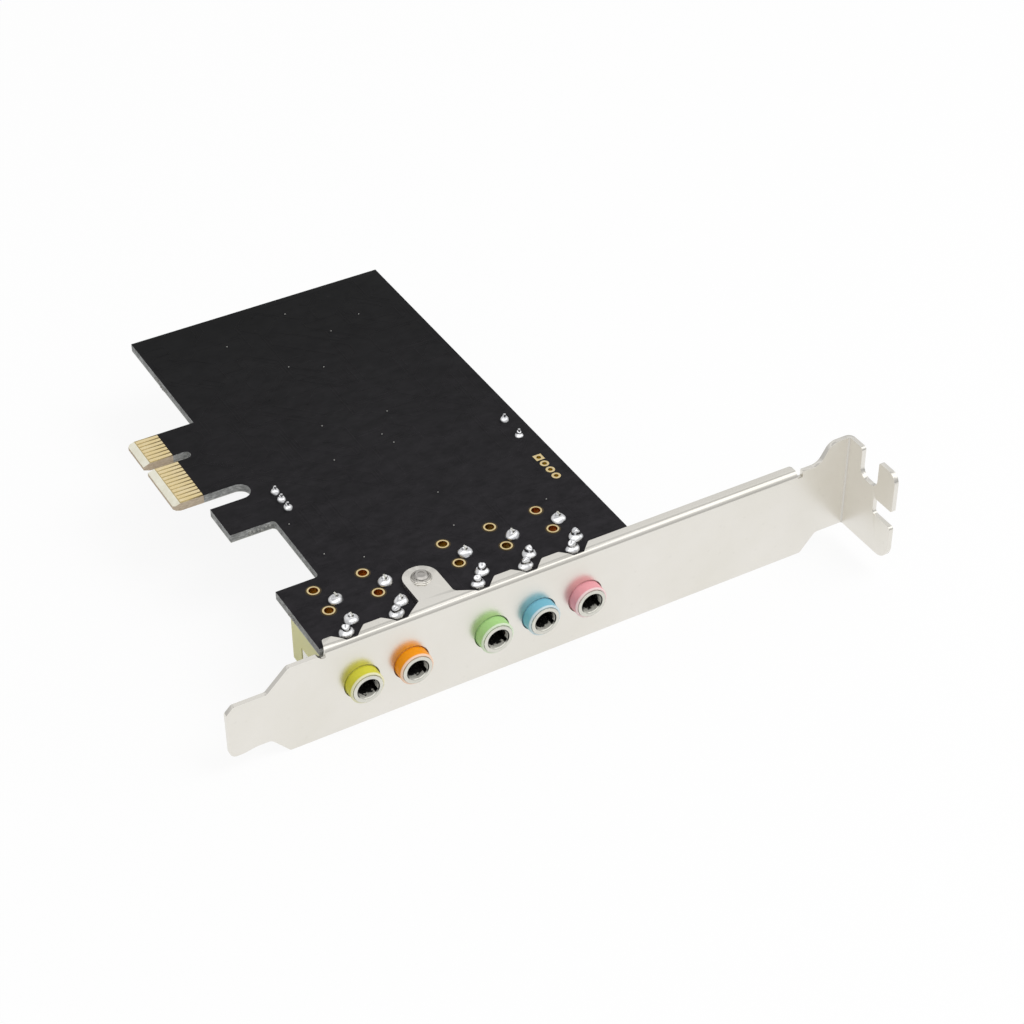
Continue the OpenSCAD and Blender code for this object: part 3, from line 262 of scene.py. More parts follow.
def gold_material(name, tone, rough, painted_wall_shade=None):
    """Gold plating; painted_wall_shade, if given, holds two darker tones of painted shade for the insides of the
    holes beside the jacks and of the header's.
    """
    g = Graph(name)
    worn = g.ramp(g.noise(600, 4, 0.6), 0.3, 0.75)
    color = g.mix(worn, tone, (min(1.0, tone[0] * 1.06), tone[1] * 1.12, tone[2] * 1.45))
    if painted_wall_shade:
        # Painted shade: the holes' insides, which face sideways, take the darker tones
        header = g.ramp(g.axes()[1], (FACE_Y + HEADER_Y[0]) * MM, (FACE_Y + HEADER_Y[1]) * MM)
        color = g.mix(g.flatness(), g.mix(header, *painted_wall_shade), color)
    rough = g.ramp(g.noise(1400, 3), 0.3, 0.7, rough - 0.07, rough + 0.1)
    return g.surface(color=color, metal=1.0, rough=rough, normal=g.bump(g.noise(3000, 2), 0.000006, 0.5))


def solder_material(name):
    """Bright solder with clouded patches."""
    g = Graph(name)
    cloud = g.noise(900, 4, 0.6)
    color = g.mix(g.ramp(cloud, 0.35, 0.7), (0.7, 0.705, 0.72), (0.93, 0.93, 0.94))
    return g.surface(color=color, metal=1.0, rough=g.ramp(cloud, 0.3, 0.75, 0.1, 0.25),
                     normal=g.bump(g.noise(1300, 4, 0.6), 0.00005, 0.3))


def sheet_steel_material(name):
    """Satin plated steel, rolled along X; duller on its plain faces, with painted shade in the inner bend of its
    screw tab.
    """
    g = Graph(name)
    rolled = g.noise(900, 5, 0.65, source=g.scaled((0.035, 1.0, 1.0)))
    cloud = g.noise(55, 4, 0.6)
    speck = g.ramp(g.spots(420), 0.0, 0.16, 1.0, 0.0)
    color = g.mix(g.ramp(cloud, 0.3, 0.7), (0.78, 0.755, 0.69), (0.83, 0.805, 0.755))
    color = g.mix(g.math("MULTIPLY", speck, 0.12), color, (0.5, 0.48, 0.43))
    to_x, to_y, _ = g.facing()
    plain = g.ramp(g.math("MAXIMUM", g.math("ABSOLUTE", to_x), g.math("ABSOLUTE", to_y)), 0.96, 0.995)
    rough = g.math("ADD", g.ramp(cloud, 0.3, 0.7, 0.19, 0.23), g.math("MULTIPLY", plain, 0.1))
    # Painted shade: the inner bend between the face and the screw tab is darkened
    painted_bend_shade = g.ramp(g.math("MULTIPLY", to_x, to_y), 0.15, 0.35)
    color = g.mix(g.math("MULTIPLY", painted_bend_shade, 0.8), color, (0.56, 0.535, 0.49))
    return g.surface(color=color, metal=1.0, rough=rough, normal=g.bump(rolled, 0.000006, 0.25))


def bright_metal_material(name, tone, rough, grain=1600, deep=0.00001):
    """Plain bright metal; grain sets how fine its bumps are, deep how high, in metres."""
    g = Graph(name)
    cloud = g.noise(grain / 3, 4, 0.6)
    color = g.mix(g.ramp(cloud, 0.3, 0.7), shaded(tone, 0.86), tone)
    return g.surface(color=color, metal=1.0, rough=g.ramp(cloud, 0.3, 0.7, rough, rough + 0.12),
                     normal=g.bump(g.noise(grain, 3), deep, 0.45))


def moulding(g, tone, low_rough, high_rough, grain=2200):
    """Colour, roughness and bumps of moulded plastic."""
    share = g.ramp(g.noise(140, 4, 0.6), 0.3, 0.7)
    color = g.mix(share, shaded(tone, 0.92), shaded(tone, 1.04))
    rough = g.ramp(share, 0.0, 1.0, low_rough, high_rough)
    return color, rough, g.bump(g.noise(grain, 3), 0.000012, 0.4)


def moulded_material(name, tone, rough=0.4, specular=0.4, grain=2200):
    """One plastic, paint or mask of a plain tone."""
    g = Graph(name)
    color, rough, normal = moulding(g, tone, rough - 0.04, rough + 0.07, grain)
    return g.surface(color=color, rough=rough, specular=specular, normal=normal)


def from_axis(g, x, z, jack_x):
    """Height over a jack's axis, and distance from it."""
    over = g.math("SUBTRACT", z, JACK_Z * MM)
    return over, g.distance(g.math("SUBTRACT", x, jack_x * MM), over)


def housing_material(name, tone, jack_x):
    """Coloured plastic, paler behind the bracket, with a painted highlight on the nose's front edge and painted
    shade, almost black, in the bore and the cavity.
    """
    g = Graph(name)
    x, y, z = g.axes()
    color, rough, normal = moulding(g, tone, 0.3, 0.4)
    cavity = g.math("MULTIPLY", g.band(x, (jack_x - CAVITY_HALF) * MM, (jack_x + CAVITY_HALF) * MM),
                    g.band(y, (FACE_Y + CAVITY_Y[0]) * MM, (FACE_Y + CAVITY_Y[1]) * MM))
    cavity = g.math("MULTIPLY", cavity, g.band(z, CAVITY_Z[0] * MM, CAVITY_Z[1] * MM))
    _, radius = from_axis(g, x, z, jack_x)
    bore = g.math("MULTIPLY", g.ramp(radius, HOUSING_BORE_R * MM, (HOUSING_BORE_R + 0.03) * MM, 1.0, 0.0),
                  g.band(y, (NOSE_Y - 0.05) * MM, (FACE_Y + CAVITY_Y[0] + 0.2) * MM))
    # Painted highlight: a pale band on the nose's front edge
    lip = g.math("MULTIPLY", g.ramp(y, (NOSE_Y + 0.32) * MM, (NOSE_Y + 0.12) * MM), 0.62)
    body = g.math("MULTIPLY", g.ramp(y, FACE_Y * MM, (FACE_Y + 0.3) * MM), 0.35)
    color = g.mix(body, color, (0.95, 0.94, 0.9))
    color = g.mix(lip, color, (0.84, 0.83, 0.79))
    # Painted shade: the cavity and the bore are drawn almost black
    color = g.mix(g.math("MAXIMUM", cavity, bore), color, (0.006, 0.006, 0.006))
    return g.surface(color=color, rough=rough, specular=0.22, normal=normal)


def sleeve_material(name, tone, jack_x):
    """Nickelled sleeve of a jack, with painted shade, almost black, in the upper part of the mouth's chamfer and
    deeper in the bore; just inside the bore and on its arm it is less metallic, so lamps light it.
    """
    g = Graph(name)
    x, y, z = g.axes()
    over, radius = from_axis(g, x, z, jack_x)
    front = g.ramp(y, (FACE_Y + 3) * MM, (FACE_Y + 2.9) * MM)
    # Painted shade in the upper part of the mouth's chamfer
    chamfer = g.math("MULTIPLY", g.band(radius, MOUTH_R[0] * MM, MOUTH_R[1] * MM),
                     g.ramp(over, -1.4 * MM, -0.8 * MM))
    wall = g.ramp(radius, SLEEVE_BORE_R * MM, MOUTH_R[0] * MM, 1.0, 0.0)
    # Painted shade deeper in the bore, beyond a ragged line
    torn = g.math("ADD", y, g.ramp(g.noise(1300, 2), 0.3, 0.7, -0.5 * MM, 0.5 * MM))
    deep = g.math("MULTIPLY", wall, g.ramp(torn, (NOSE_Y + 0.75) * MM, (NOSE_Y + 0.95) * MM))
    dark = g.math("MULTIPLY", g.math("MAXIMUM", chamfer, deep), front)
    cloud = g.noise(530, 4, 0.6)
    color = g.mix(g.ramp(cloud, 0.3, 0.7), shaded(tone, 0.86), tone)
    color = g.mix(dark, color, (0.02, 0.02, 0.019))
    arm = g.ramp(y, (FACE_Y + 4) * MM, (FACE_Y + 4.1) * MM)
    metal = g.math("SUBTRACT", 1.0, g.math("MULTIPLY", g.math("MAXIMUM", wall, arm), 0.85))
    return g.surface(color=color, metal=metal, rough=g.ramp(cloud, 0.3, 0.7, 0.2, 0.32),
                     normal=g.bump(g.noise(1600, 3), 0.00001, 0.45))


def ceramic_material(name, tone):
    """Rough mineral, with fine grains."""
    g = Graph(name)
    grain = g.noise(2500, 3, 0.7)
    color = g.mix(g.ramp(grain, 0.35, 0.7), shaded(tone, 0.8), tone)
    return g.surface(color=color, rough=g.ramp(grain, 0.3, 0.7, 0.45, 0.6), specular=0.4,
                     normal=g.bump(grain, 0.00001, 0.4))


PLASTICS = {
    "yellow": (0.66, 0.63, 0.05),
    "orange": (0.94, 0.33, 0.003),
    "green": (0.42, 0.71, 0.26),
    "blue": (0.2, 0.53, 0.68),
    "pink": (0.88, 0.38, 0.42),
}
NICKEL_TONE = (0.74, 0.73, 0.66)
MASK_DARK = (0.0072, 0.0073, 0.0076)
MASK = mask_material("black_solder_mask", MASK_DARK)
COPPER_MASK = copper_mask_material("mask_over_copper", shaded(MASK_DARK, 1.03))
SPECK = bright_metal_material("via_metal", (0.62, 0.61, 0.58), 0.3)
INK = moulded_material("white_print", (0.72, 0.72, 0.7), 0.6, 0.3)
BLACK_INK = moulded_material("black_print", (0.02, 0.02, 0.022), 0.5, 0.3)
GOLD = gold_material("contact_gold", (0.92, 0.74, 0.37), 0.3)
# Painted shade darkens the insides of its holes
PAD_GOLD = gold_material("pad_gold", (0.82, 0.64, 0.3), 0.28, painted_wall_shade=((0.5, 0.24, 0.045), (0.56, 0.42, 0.065)))
PAD_RIM = moulded_material("mask_round_pads", (0.05, 0.033, 0.012), 0.4, 0.2, 900)
SOLDER = solder_material("bright_solder")
STEEL = sheet_steel_material("plated_sheet_steel")
SCREW = bright_metal_material("screw_steel", (0.52, 0.5, 0.47), 0.2)
TORN_STEEL = bright_metal_material("torn_steel", (0.5, 0.48, 0.44), 0.32, 900, 0.00004)
NICKEL = bright_metal_material("contact_nickel", NICKEL_TONE, 0.2)
TIN = bright_metal_material("satin_tin", (0.74, 0.74, 0.75), 0.28)
CAN_STEEL = bright_metal_material("pressed_steel", (0.76, 0.755, 0.74), 0.2, 900)
CAN_ALUMINIUM = bright_metal_material("can_aluminium", (0.8, 0.8, 0.81), 0.24, 1100)
LAMINATE = ceramic_material("torn_laminate", (0.36, 0.36, 0.34))
RESIN = moulded_material("chip_resin", (0.014, 0.014, 0.015), 0.5, 0.35, grain=3800)
BLACK_PLASTIC = moulded_material("black_plastic", (0.013, 0.013, 0.013), 0.45, 0.4)
CERAMIC = ceramic_material("brown_ceramic", (0.36, 0.23, 0.12))

WEARS = {
    "circuit_board": MASK, "edge_contacts": GOLD, "plated_holes": PAD_GOLD, "solder_joints": SOLDER,
    "bracket": STEEL, "bracket_screw": SCREW, "audio_chip": RESIN, "bridge_chip": RESIN,
    "memory_chip": RESIN, "power_regulators": RESIN, "voltage_regulator": RESIN,
    "audio_chip_leads": TIN, "bridge_chip_leads": TIN, "memory_chip_leads": TIN,
    "power_regulator_leads": TIN, "voltage_regulator_leads": TIN, "crystal_can": CAN_STEEL,
    "crystal_leads": TIN, "oscillator_base": CERAMIC, "oscillator_lid": CAN_STEEL,
    "capacitor_cans": CAN_ALUMINIUM, "capacitor_bases": BLACK_PLASTIC, "capacitor_terminals": TIN,
    "chip_resistors": RESIN, "chip_capacitors": CERAMIC, "chip_end_caps": TIN,
}
for colour, at in JACK_X.items():
    WEARS[colour + "_jack_housing"] = housing_material(colour + "_plastic", PLASTICS[colour], at)
    WEARS[colour + "_jack_sleeve_contact"] = sleeve_material(colour + "_sleeve_nickel", NICKEL_TONE, at)
    WEARS[colour + "_jack_ring_spring"] = NICKEL
    WEARS[colour + "_jack_tip_spring"] = NICKEL
    WEARS[colour + "_jack_back_cover"] = BLACK_PLASTIC


def wear(obj, material):
    """Gives an object one material, in every slot that it has."""
    if not obj.material_slots:
        obj.data.materials.append(material)
    for s in obj.material_slots:
        s.material = material


for node_name, material in WEARS.items():
    wear(NODES[node_name], material)


def soften(node, width, segments=2):
    """Small rounded edges on a CAD node, as modifiers."""
    obj = NODES[node]
    weld = obj.modifiers.new("weld", "WELD")
    weld.merge_threshold = 0.002 * MM
    bevel = obj.modifiers.new("edges", "BEVEL")
    bevel.width = width * MM
    bevel.segments = segments
    bevel.limit_method = "ANGLE"
    bevel.angle_limit = math.radians(35)
    bevel.use_clamp_overlap = True
    bevel.harden_normals = False
    obj.modifiers.new("normals", "WEIGHTED_NORMAL").keep_sharp = False


soften("bracket", 0.1)
soften("bracket_screw", 0.06)
for colour in JACKS:
    soften(colour + "_jack_housing", 0.08)
    soften(colour + "_jack_sleeve_contact", 0.05)
for node_name in ("audio_chip", "bridge_chip", "memory_chip", "power_regulators", "voltage_regulator",
                  "crystal_can", "capacitor_bases", "oscillator_lid"):
    soften(node_name, 0.08)


# Form helpers
def circle(x, y, z, radius, sides):
    """Corners of a level ring."""
    turn = 2 * math.pi / sides
    return [(x + radius * math.cos(turn * k), y + radius * math.sin(turn * k), z) for k in range(sides)]


class Form:
    """Collects the corners and faces of one piece, in millimetres."""

    def __init__(self):
        self.verts = []
        self.faces = []

    def add(self, verts, faces):
        """Takes in corners, and faces that count from the first of them."""
        start = len(self.verts)
        self.verts += [tuple(c * MM for c in v) for v in verts]
        self.faces += [tuple(i + start for i in f) for f in faces]

    def rings(self, loops, close=True):
        """Skins loops of equal length, from the first to the last."""
        n = len(loops[0])
        faces = []
        for k in range(len(loops) - 1):
            for i in range(n):
                j = (i + 1) % n
                faces.append((k * n + i, k * n + j, (k + 1) * n + j, (k + 1) * n + i))
        if close:
            faces.append(tuple(range(n - 1, -1, -1)))
            faces.append(tuple((len(loops) - 1) * n + i for i in range(n)))
        self.add([v for loop in loops for v in loop], faces)

    def ribbon(self, path, width, base, rise):
        """Flat track with slanting sides along a path of two or more (x, y)."""
        points = [Vector(p) for p in path]
        slant = 0.03
        section = ((width / 2 + slant, 0), (width / 2, rise), (-width / 2, rise), (-width / 2 - slant, 0))
        loops = []
        for i, p in enumerate(points):
            before = (p - points[i - 1]).normalized() if i else (points[1] - p).normalized()
            after = (points[i + 1] - p).normalized() if i < len(points) - 1 else before
            side = Vector((-(before + after).y, (before + after).x)).normalized()
            stretch = 1.0 / max(0.5, side.dot(Vector((-before.y, before.x))))
            row = []
            for s, z in section:
                q = p + side * s * stretch
                row.append((q.x, q.y, base + z))
            loops.append(row if rise > 0 else row[::-1])
        self.rings(loops)

    def disc(self, x, y, radius, base, rise, sides=12, dimple=0.0):
        """Low round pad; dimple is the depth of its hollow, as a share of the rise."""
        slant = 0.03
        rows = [(radius + slant, 0), (radius, rise)]
        if dimple:
            rows += [(radius * 0.55, rise), (radius * 0.4, rise * (1 - dimple))]
        loops = [circle(x, y, base + z, r, sides) for r, z in rows]
        if rise < 0:
            loops = [loop[::-1] for loop in loops]
        self.rings(loops)

    def piece(self, name, material, slot, smooth=False):
        """Makes one object of all that was collected."""
        mesh = bpy.data.meshes.new(name)
        mesh.from_pydata(self.verts, [], self.faces)
        if smooth:
            mesh.shade_smooth()
        mesh.materials.append(material)
        obj = bpy.data.objects.new(name, mesh)
        bpy.context.scene.collection.objects.link(obj)
        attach(obj, "root")
        return obj


def islands(node):
    """Lowest and highest corners, in millimetres, of each closed solid of a node."""
    mesh = NODES[node].data
    parent = list(range(len(mesh.vertices)))

    def root(a):
        while parent[a] != a:
            parent[a] = parent[parent[a]]
            a = parent[a]
        return a

    seen = {}
    for v in mesh.vertices:
        key = tuple(round(c, 6) for c in v.co)
        parent[root(v.index)] = root(seen.setdefault(key, v.index))
    for p in mesh.polygons:
        for v in p.vertices[1:]:
            parent[root(v)] = root(p.vertices[0])
    groups = {}
    for v in mesh.vertices:
        groups.setdefault(root(v.index), []).append(v.co / MM)
    return sorted([tuple(end(p[i] for p in g) for i in range(3)) for end in (min, max)] for g in groups.values())


def middle(low, high):
    return (low[0] + high[0]) / 2, (low[1] + high[1]) / 2


def screw_axis():
    """Place of the bracket's screw, in millimetres."""
    low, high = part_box("bracket_screw")
    return (low[0] + high[0]) / 2 / MM, (low[1] + high[1]) / 2 / MM


# Solder joints
JOINT_SIDES = 28
# Where the rear joints of the jacks end and the front ones begin
REAR_Y, FRONT_Y = -50, -55.5
# Between the second and the third jack, and between the two joints at the board's right edge
GROUP_X, EDGE_JOINTS_Y = 30, -20
# Shares of the foot's radius and of the height, from the foot to the end of the pin
DOME = ((1.0, 0.0), (1.0, 0.05), (0.98, 0.17), (0.93, 0.31), (0.84, 0.45), (0.72, 0.57), (0.58, 0.66),
        (0.47, 0.7), (0.4, 0.68), (0.36, 0.74), (0.34, 0.87), (0.26, 0.97), (0.14, 1.0), (0.03, 0.99))
TALL = ((1.0, 0.0), (1.0, 0.04), (0.97, 0.14), (0.9, 0.25), (0.79, 0.35), (0.66, 0.42), (0.56, 0.48),
        (0.52, 0.55), (0.52, 0.65), (0.52, 0.76), (0.46, 0.87), (0.34, 0.95), (0.17, 1.0), (0.03, 0.99))


def solder_joint(form, x, y, radius, height, profile, lean, rng):
    """One lump; radius gives its reach along X and along Y."""
    phases = [rng.uniform(0, 2 * math.pi) for _ in range(4)]
    loops = []
    for r, h in profile:
        row = []
        for k in range(JOINT_SIDES):
            a = 2 * math.pi * k / JOINT_SIDES
            wobble = 0.06 * math.sin(2 * a + phases[0]) + 0.05 * math.sin(3 * a + phases[1])
            swell = 1 + wobble * min(1, 3 * h)
            sag = 0.09 * h * math.sin(2 * a + phases[2] + 2 * h) * (1 - r * r)
            row.append((x + radius[0] * r * swell * math.cos(a) + lean[0] * h * h,
                        y + radius[1] * r * swell * math.sin(a) + lean[1] * h * h,
                        TOP_Z + height * (h + sag)))
        loops.append(row)
    form.rings(loops)


def add_solder_joints():
    """Bright lumps of solder, each a little different, over the CAD node's plain ones."""
    rng = random.Random(31)
    form = Form()
    for low, high in islands("solder_joints"):
        x, y = middle(low, high)
        left = x < GROUP_X
        if high[0] - low[0] > 2:
            front = y < FRONT_Y
            profile = DOME if y > REAR_Y or (left and not front) else TALL
            height = rng.uniform(1.25, 1.4) if profile is DOME else rng.uniform(1.75, 1.95)
            radius = (1.44, 1.2) if front else (1.38, 1.3)
            lean = (rng.uniform(-0.15, 0.1), rng.uniform(0.0, 0.2))
        else:
            profile = DOME if left or y > EDGE_JOINTS_Y else TALL
            height = rng.uniform(1.1, 1.25)
            radius = (0.85, 0.85)
            lean = (rng.uniform(-0.25, -0.1), rng.uniform(0.0, 0.2)) if left else (0.0, 0.15)
        solder_joint(form, x, y, radius, height, profile, lean, rng)
    obj = form.piece("solder_lumps", SOLDER, "solder", smooth=True)
    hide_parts("solder_joints")


def add_pad_rims():
    """Edge of the solder mask that laps over each bare ring."""
    form = Form()
    sides, thick, header_r = 32, 0.012, 1
    for low, high in islands("plated_holes"):
        radius = (high[0] - low[0]) / 2
        if radius < header_r:
            continue
        for base, board, rise in ((high[2], TOP_Z, thick), (low[2], LOW_Z, -thick)):
            profile = ((0.16, board), (0.03, base + rise), (-0.11, base + rise), (-0.13, base - rise))
            loops = [circle(*middle(low, high), z, radius + past, sides) for past, z in profile]
            form.rings(loops if rise > 0 else [loop[::-1] for loop in loops], close=False)
    form.piece("mask_round_pads", PAD_RIM, "solder_mask")


# Tracks
def on_board(x, y, margin):
    """Whether a place, in millimetres, lies on the board and clear of its edges."""
    m = margin
    if not BOARD_NEAR_Y + m < y < BOARD_FAR - m or x > BOARD_RIGHT - m:
        return False
    if y > TAB_FAR_Y - m:
        return x > SHOULDER_FAR_X + m
    if y > TAB_NEAR_Y + m:
        return x > max(MASK_X + 0.4, KEY_END_X + m if abs(y) < KEY_HALF + m else 0)
    if y > LEG_FAR_Y - m:
        return x > SLOT_END_X + m
    if y > LEG_NEAR_Y + m:
        return x > LEG_X + m
    if y > WING_END_Y - m:
        return x > SHOULDER_NEAR_X + m
    return x > WING_X + m


def add_tracks(name, base, rise, seed, keep_out, count, vias):
    """Copper tracks and vias that show faintly through the mask of one face. Each track wanders over
    a grid of cells, turns by an eighth at a time and stops where nothing is free."""
    rng = random.Random(seed)
    step, margin = 0.62, 0.9
    columns, rows = (9, 102), (-92, 57)
    longest, shortest = 70, 4
    compass = [(1, 0), (1, 1), (0, 1), (-1, 1), (-1, 0), (-1, -1), (0, -1), (1, -1)]
    taken = set()

    def free(cell):
        x, y = cell[0] * step, cell[1] * step
        return (cell not in taken and on_board(x, y, margin)
                and all((x - cx) ** 2 + (y - cy) ** 2 > r * r for cx, cy, r in keep_out))

    tracks, holes = Form(), Form()
    ends = []
    for _ in range(count):
        start = (rng.randint(*columns), rng.randint(*rows))
        heading = rng.randrange(8)
        if not free(start):
            continue
        path = [start]
        run = rng.randint(3, 16)
        while len(path) < longest:
            if run == 0:
                heading = (heading + rng.choice((-1, 1))) % 8
                run = rng.randint(2, 18)
            for turn in (0, 1, -1):
                dx, dy = compass[(heading + turn) % 8]
                x, y = path[-1]
                ahead = (x + dx, y + dy)
                crossed = dx and dy and (x + dx, y) in taken and (x, y + dy) in taken
                if free(ahead) and not crossed:
                    heading = (heading + turn) % 8
                    path.append(ahead)
                    taken.add(ahead)
                    break
            else:
                break
            run -= 1
        taken.add(start)
        if len(path) < shortest:
            continue
        corners = [path[0]]
        for a, b, c in zip(path, path[1:], path[2:]):
            if (b[0] - a[0], b[1] - a[1]) != (c[0] - b[0], c[1] - b[1]):
                corners.append(b)
        corners.append(path[-1])
        width = rng.choice((0.2, 0.2, 0.26, 0.4))
        tracks.ribbon([(x * step, y * step) for x, y in corners], width, base, rise)
        ends += [path[0], path[-1]]
    for x, y in ends:
        holes.disc(x * step, y * step, 0.3, base, rise * 1.2, dimple=0.9)
    for x, y in vias:
        holes.disc(x, y, 0.36, base, rise * 1.6, dimple=0.5)
    tracks.piece(name + "_tracks", COPPER_MASK, "solder_mask")
    holes.piece(name + "_vias", COPPER_MASK, "solder_mask")


# Vias that shine in the photograph, in millimetres on the solder face
BRIGHT_VIAS = ((41.9, 31.4), (34.9, 15.2), (40.5, 12.0), (27.8, 26.9), (46.9, 21.9), (54.0, 24.4),
               (44.2, -6.1), (40.2, -11.8), (40.9, -15.0), (32.1, -4.3), (29.5, -14.4), (40.8, -31.5),
               (38.8, -40.8), (55.9, -42.5), (14.9, -26.6), (16.5, -36.7), (21.9, -40.7))


def add_copper():
    """The relief of both faces, with a few bare specks. Tracks keep out of circles (x, y, radius)."""
    holes = [(*middle(low, high), (high[0] - low[0]) / 2 + clear)
             for node, clear in (("solder_joints", 0.6), ("plated_holes", 0.7))
             for low, high in islands(node)]
    ear = [(EAR_X, EAR_Y - 1.5 * k, 4.2) for k in range(4)]
    parts = [(*middle(low, high), max(high[0] - low[0], high[1] - low[1]) / 2 * 0.8)
             for node in ("audio_chip", "bridge_chip", "capacitor_bases", "power_regulators", "memory_chip")
             for low, high in islands(node)]
    rise = 0.022
    add_tracks("solder_side", TOP_Z, rise, 5, holes + ear, 330, BRIGHT_VIAS)
    add_tracks("component_side", LOW_Z, -rise, 8, holes + parts, 300, ())
    specks = Form()
    for x, y in BRIGHT_VIAS:
        specks.disc(x, y, 0.1, TOP_Z, rise * 2, sides=8)
    specks.piece("bare_via_specks", SPECK, "solder")


def add_print():
    """White outlines of the parts on the component face, with no words."""
    form = Form()
    rise, line, first_pin = -0.015, 0.15, 2.0

    def frame_round(low, high, gap):
        x0, y0, x1, y1 = low[0] - gap, low[1] - gap, high[0] + gap, high[1] + gap
        tick = min(x1 - x0, y1 - y0) / 4
        for x, sx in ((x0, 1), (x1, -1)):
            for y, sy in ((y0, 1), (y1, -1)):
                form.ribbon([(x + sx * tick, y), (x, y), (x, y + sy * tick)], line, LOW_Z, rise)

    for node, gap in (("audio_chip", 1.5), ("bridge_chip", 1.5), ("memory_chip", 1.4),
                      ("power_regulators", 1.6), ("capacitor_bases", 0.5), ("crystal_can", 0.4),
                      ("oscillator_base", 0.4)):
        for low, high in islands(node):
            frame_round(low, high, gap)
    for node in ("audio_chip", "bridge_chip", "memory_chip"):
        low, high = islands(node)[0]
        form.disc(low[0] - first_pin, high[1] + first_pin, 0.35, LOW_Z, rise)
    form.piece("part_outlines", INK, "solder_mask")


def add_can_marks():
    """Black segment that marks the minus side on each capacitor's lid, and the pressed vent lines."""
    marks, vents = Form(), Form()
    half, steps, thick = math.radians(48), 14, 0.02
    vented_r, first_vent = 2.4, 0.4
    for low, high in islands("capacitor_cans"):
        x, y = middle(low, high)
        radius = (high[0] - low[0]) / 2 * 0.84
        z = low[2]
        arc = [(x + radius * math.cos(a), y + radius * math.sin(a))
               for a in (math.radians(90) + half - 2 * half * k / steps for k in range(steps + 1))]
        marks.rings([[(px, py, z + up) for px, py in arc] for up in (thick, -thick)])
        if radius > vented_r:
            for a in (first_vent, first_vent + math.pi / 2):
                dx, dy = radius * 0.6 * math.cos(a), radius * 0.6 * math.sin(a)
                vents.ribbon([(x - dx, y - dy), (x + dx, y + dy)], 0.12, z + 0.01, -0.03)
    marks.piece("capacitor_marks", BLACK_INK, "can_aluminium")
    vents.piece("capacitor_vents", CAN_ALUMINIUM, "can_aluminium")


def add_torn_edges():
    """Stubs of laminate left where the board was broken out of its panel."""
    rng = random.Random(12)
    form = Form()
    longest, half_board = 0.28, 0.75

    def stub(x, y, z, out_x, out_y, size):
        """One stub that points along (out_x, out_y)."""
        loops = []
        for share, reach in ((1.0, -0.08), (0.9, 0.35), (0.55, 0.8), (0.2, 1.0)):
            row = []
            for k in range(7):
                a = 2 * math.pi * k / 7
                r = size * share * rng.uniform(0.75, 1.2)
                along, up = r * math.cos(a), min(half_board - z, max(-half_board - z, r * math.sin(a)))
                d = reach * longest
                row.append((x + out_x * d + along * abs(out_y), y + out_y * d + along * abs(out_x), z + up))
            loops.append(row)
        if out_x < 0 or out_y > 0:
            loops = [row[::-1] for row in loops]
        form.rings(loops)

    for k in range(7):
        stub(SHOULDER_FAR_X, 20.4 + 0.78 * k, rng.uniform(-0.3, 0.3), -1, 0, rng.uniform(0.3, 0.5))
    for k in range(6):
        stub(8.4 + 0.75 * k + rng.uniform(0, 0.2), LEG_NEAR_Y, rng.uniform(-0.3, 0.3), 0, -1,
             rng.uniform(0.25, 0.45))
    for k in range(5):
        stub(WING_X, -46.6 - 0.8 * k, rng.uniform(-0.3, 0.3), -1, 0, rng.uniform(0.25, 0.4))
    for k in range(5):
        stub(20 + 0.8 * k, BOARD_FAR, rng.uniform(-0.3, 0.3), 0, 1, rng.uniform(0.25, 0.4))
    form.piece("torn_board_stubs", LAMINATE, "solder_mask")


def add_screw_thread():
    """Thread on the end of the screw that stands out of the bracket's collar."""
    cx, cy = screw_axis()
    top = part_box("bracket_screw")[1][2] / MM
    form = Form()
    pitch, turns, steps, fade_steps = 0.22, 2, 32, 8
    core, root, crest, half = 1.19, 0.03, 0.1, 0.085
    loops = []
    for k in range(turns * steps + 1):
        a = 2 * math.pi * k / steps
        z = top - pitch * (turns + 1) + pitch * k / steps
        fade = min(1, k / fade_steps, (turns * steps - k) / fade_steps + 0.02)
        loops.append([(cx + r * math.cos(a), cy + r * math.sin(a), z + up)
                      for r, up in ((core - root, -half), (core + crest * fade, 0), (core - root, half))])
    form.rings(loops)
    form.piece("screw_thread", SCREW, "screw_steel")


def add_window_blades():
    """Bright spring blade that fills the window in the side of each jack, with its two holes drawn as black
    discs: painted shade.
    """
    blades, holes = Form(), Form()
    half_housing = 4.4
    y0, y1 = FACE_Y + 9.65, FACE_Y + 13.55
    z0, z1 = JACK_Z - 4.55, JACK_Z - 1.35
    mid_y, mid_z = (y0 + y1) / 2, (z0 + z1) / 2
    hole_r, hole_up, sides = 0.26, 0.75, 14
    for jack_x in JACK_X.values():
        side = jack_x - half_housing
        blades.rings([[(side + depth, y0 + inset, z0 + inset), (side + depth, y0 + inset, z1 - inset),
                       (side + depth, y1 - inset, z1 - inset), (side + depth, y1 - inset, z0 + inset)]
                      for depth, inset in ((0.3, 0.0), (0.16, 0.0), (0.1, 0.12), (0.08, 0.4))])
        # Painted shade: each hole is a black disc on the blade, not an opening
        for up in (-hole_up, hole_up):
            holes.rings([[(side + depth, mid_y + hole_r * math.sin(a), mid_z + up + hole_r * math.cos(a))
                          for a in (2 * math.pi * k / sides for k in range(sides))]
                         for depth in (0.12, 0.07)])
    blades.piece("window_blades", NICKEL, "contact_nickel")
    holes.piece("window_blade_hole_shade", BLACK_PLASTIC, "contact_nickel")


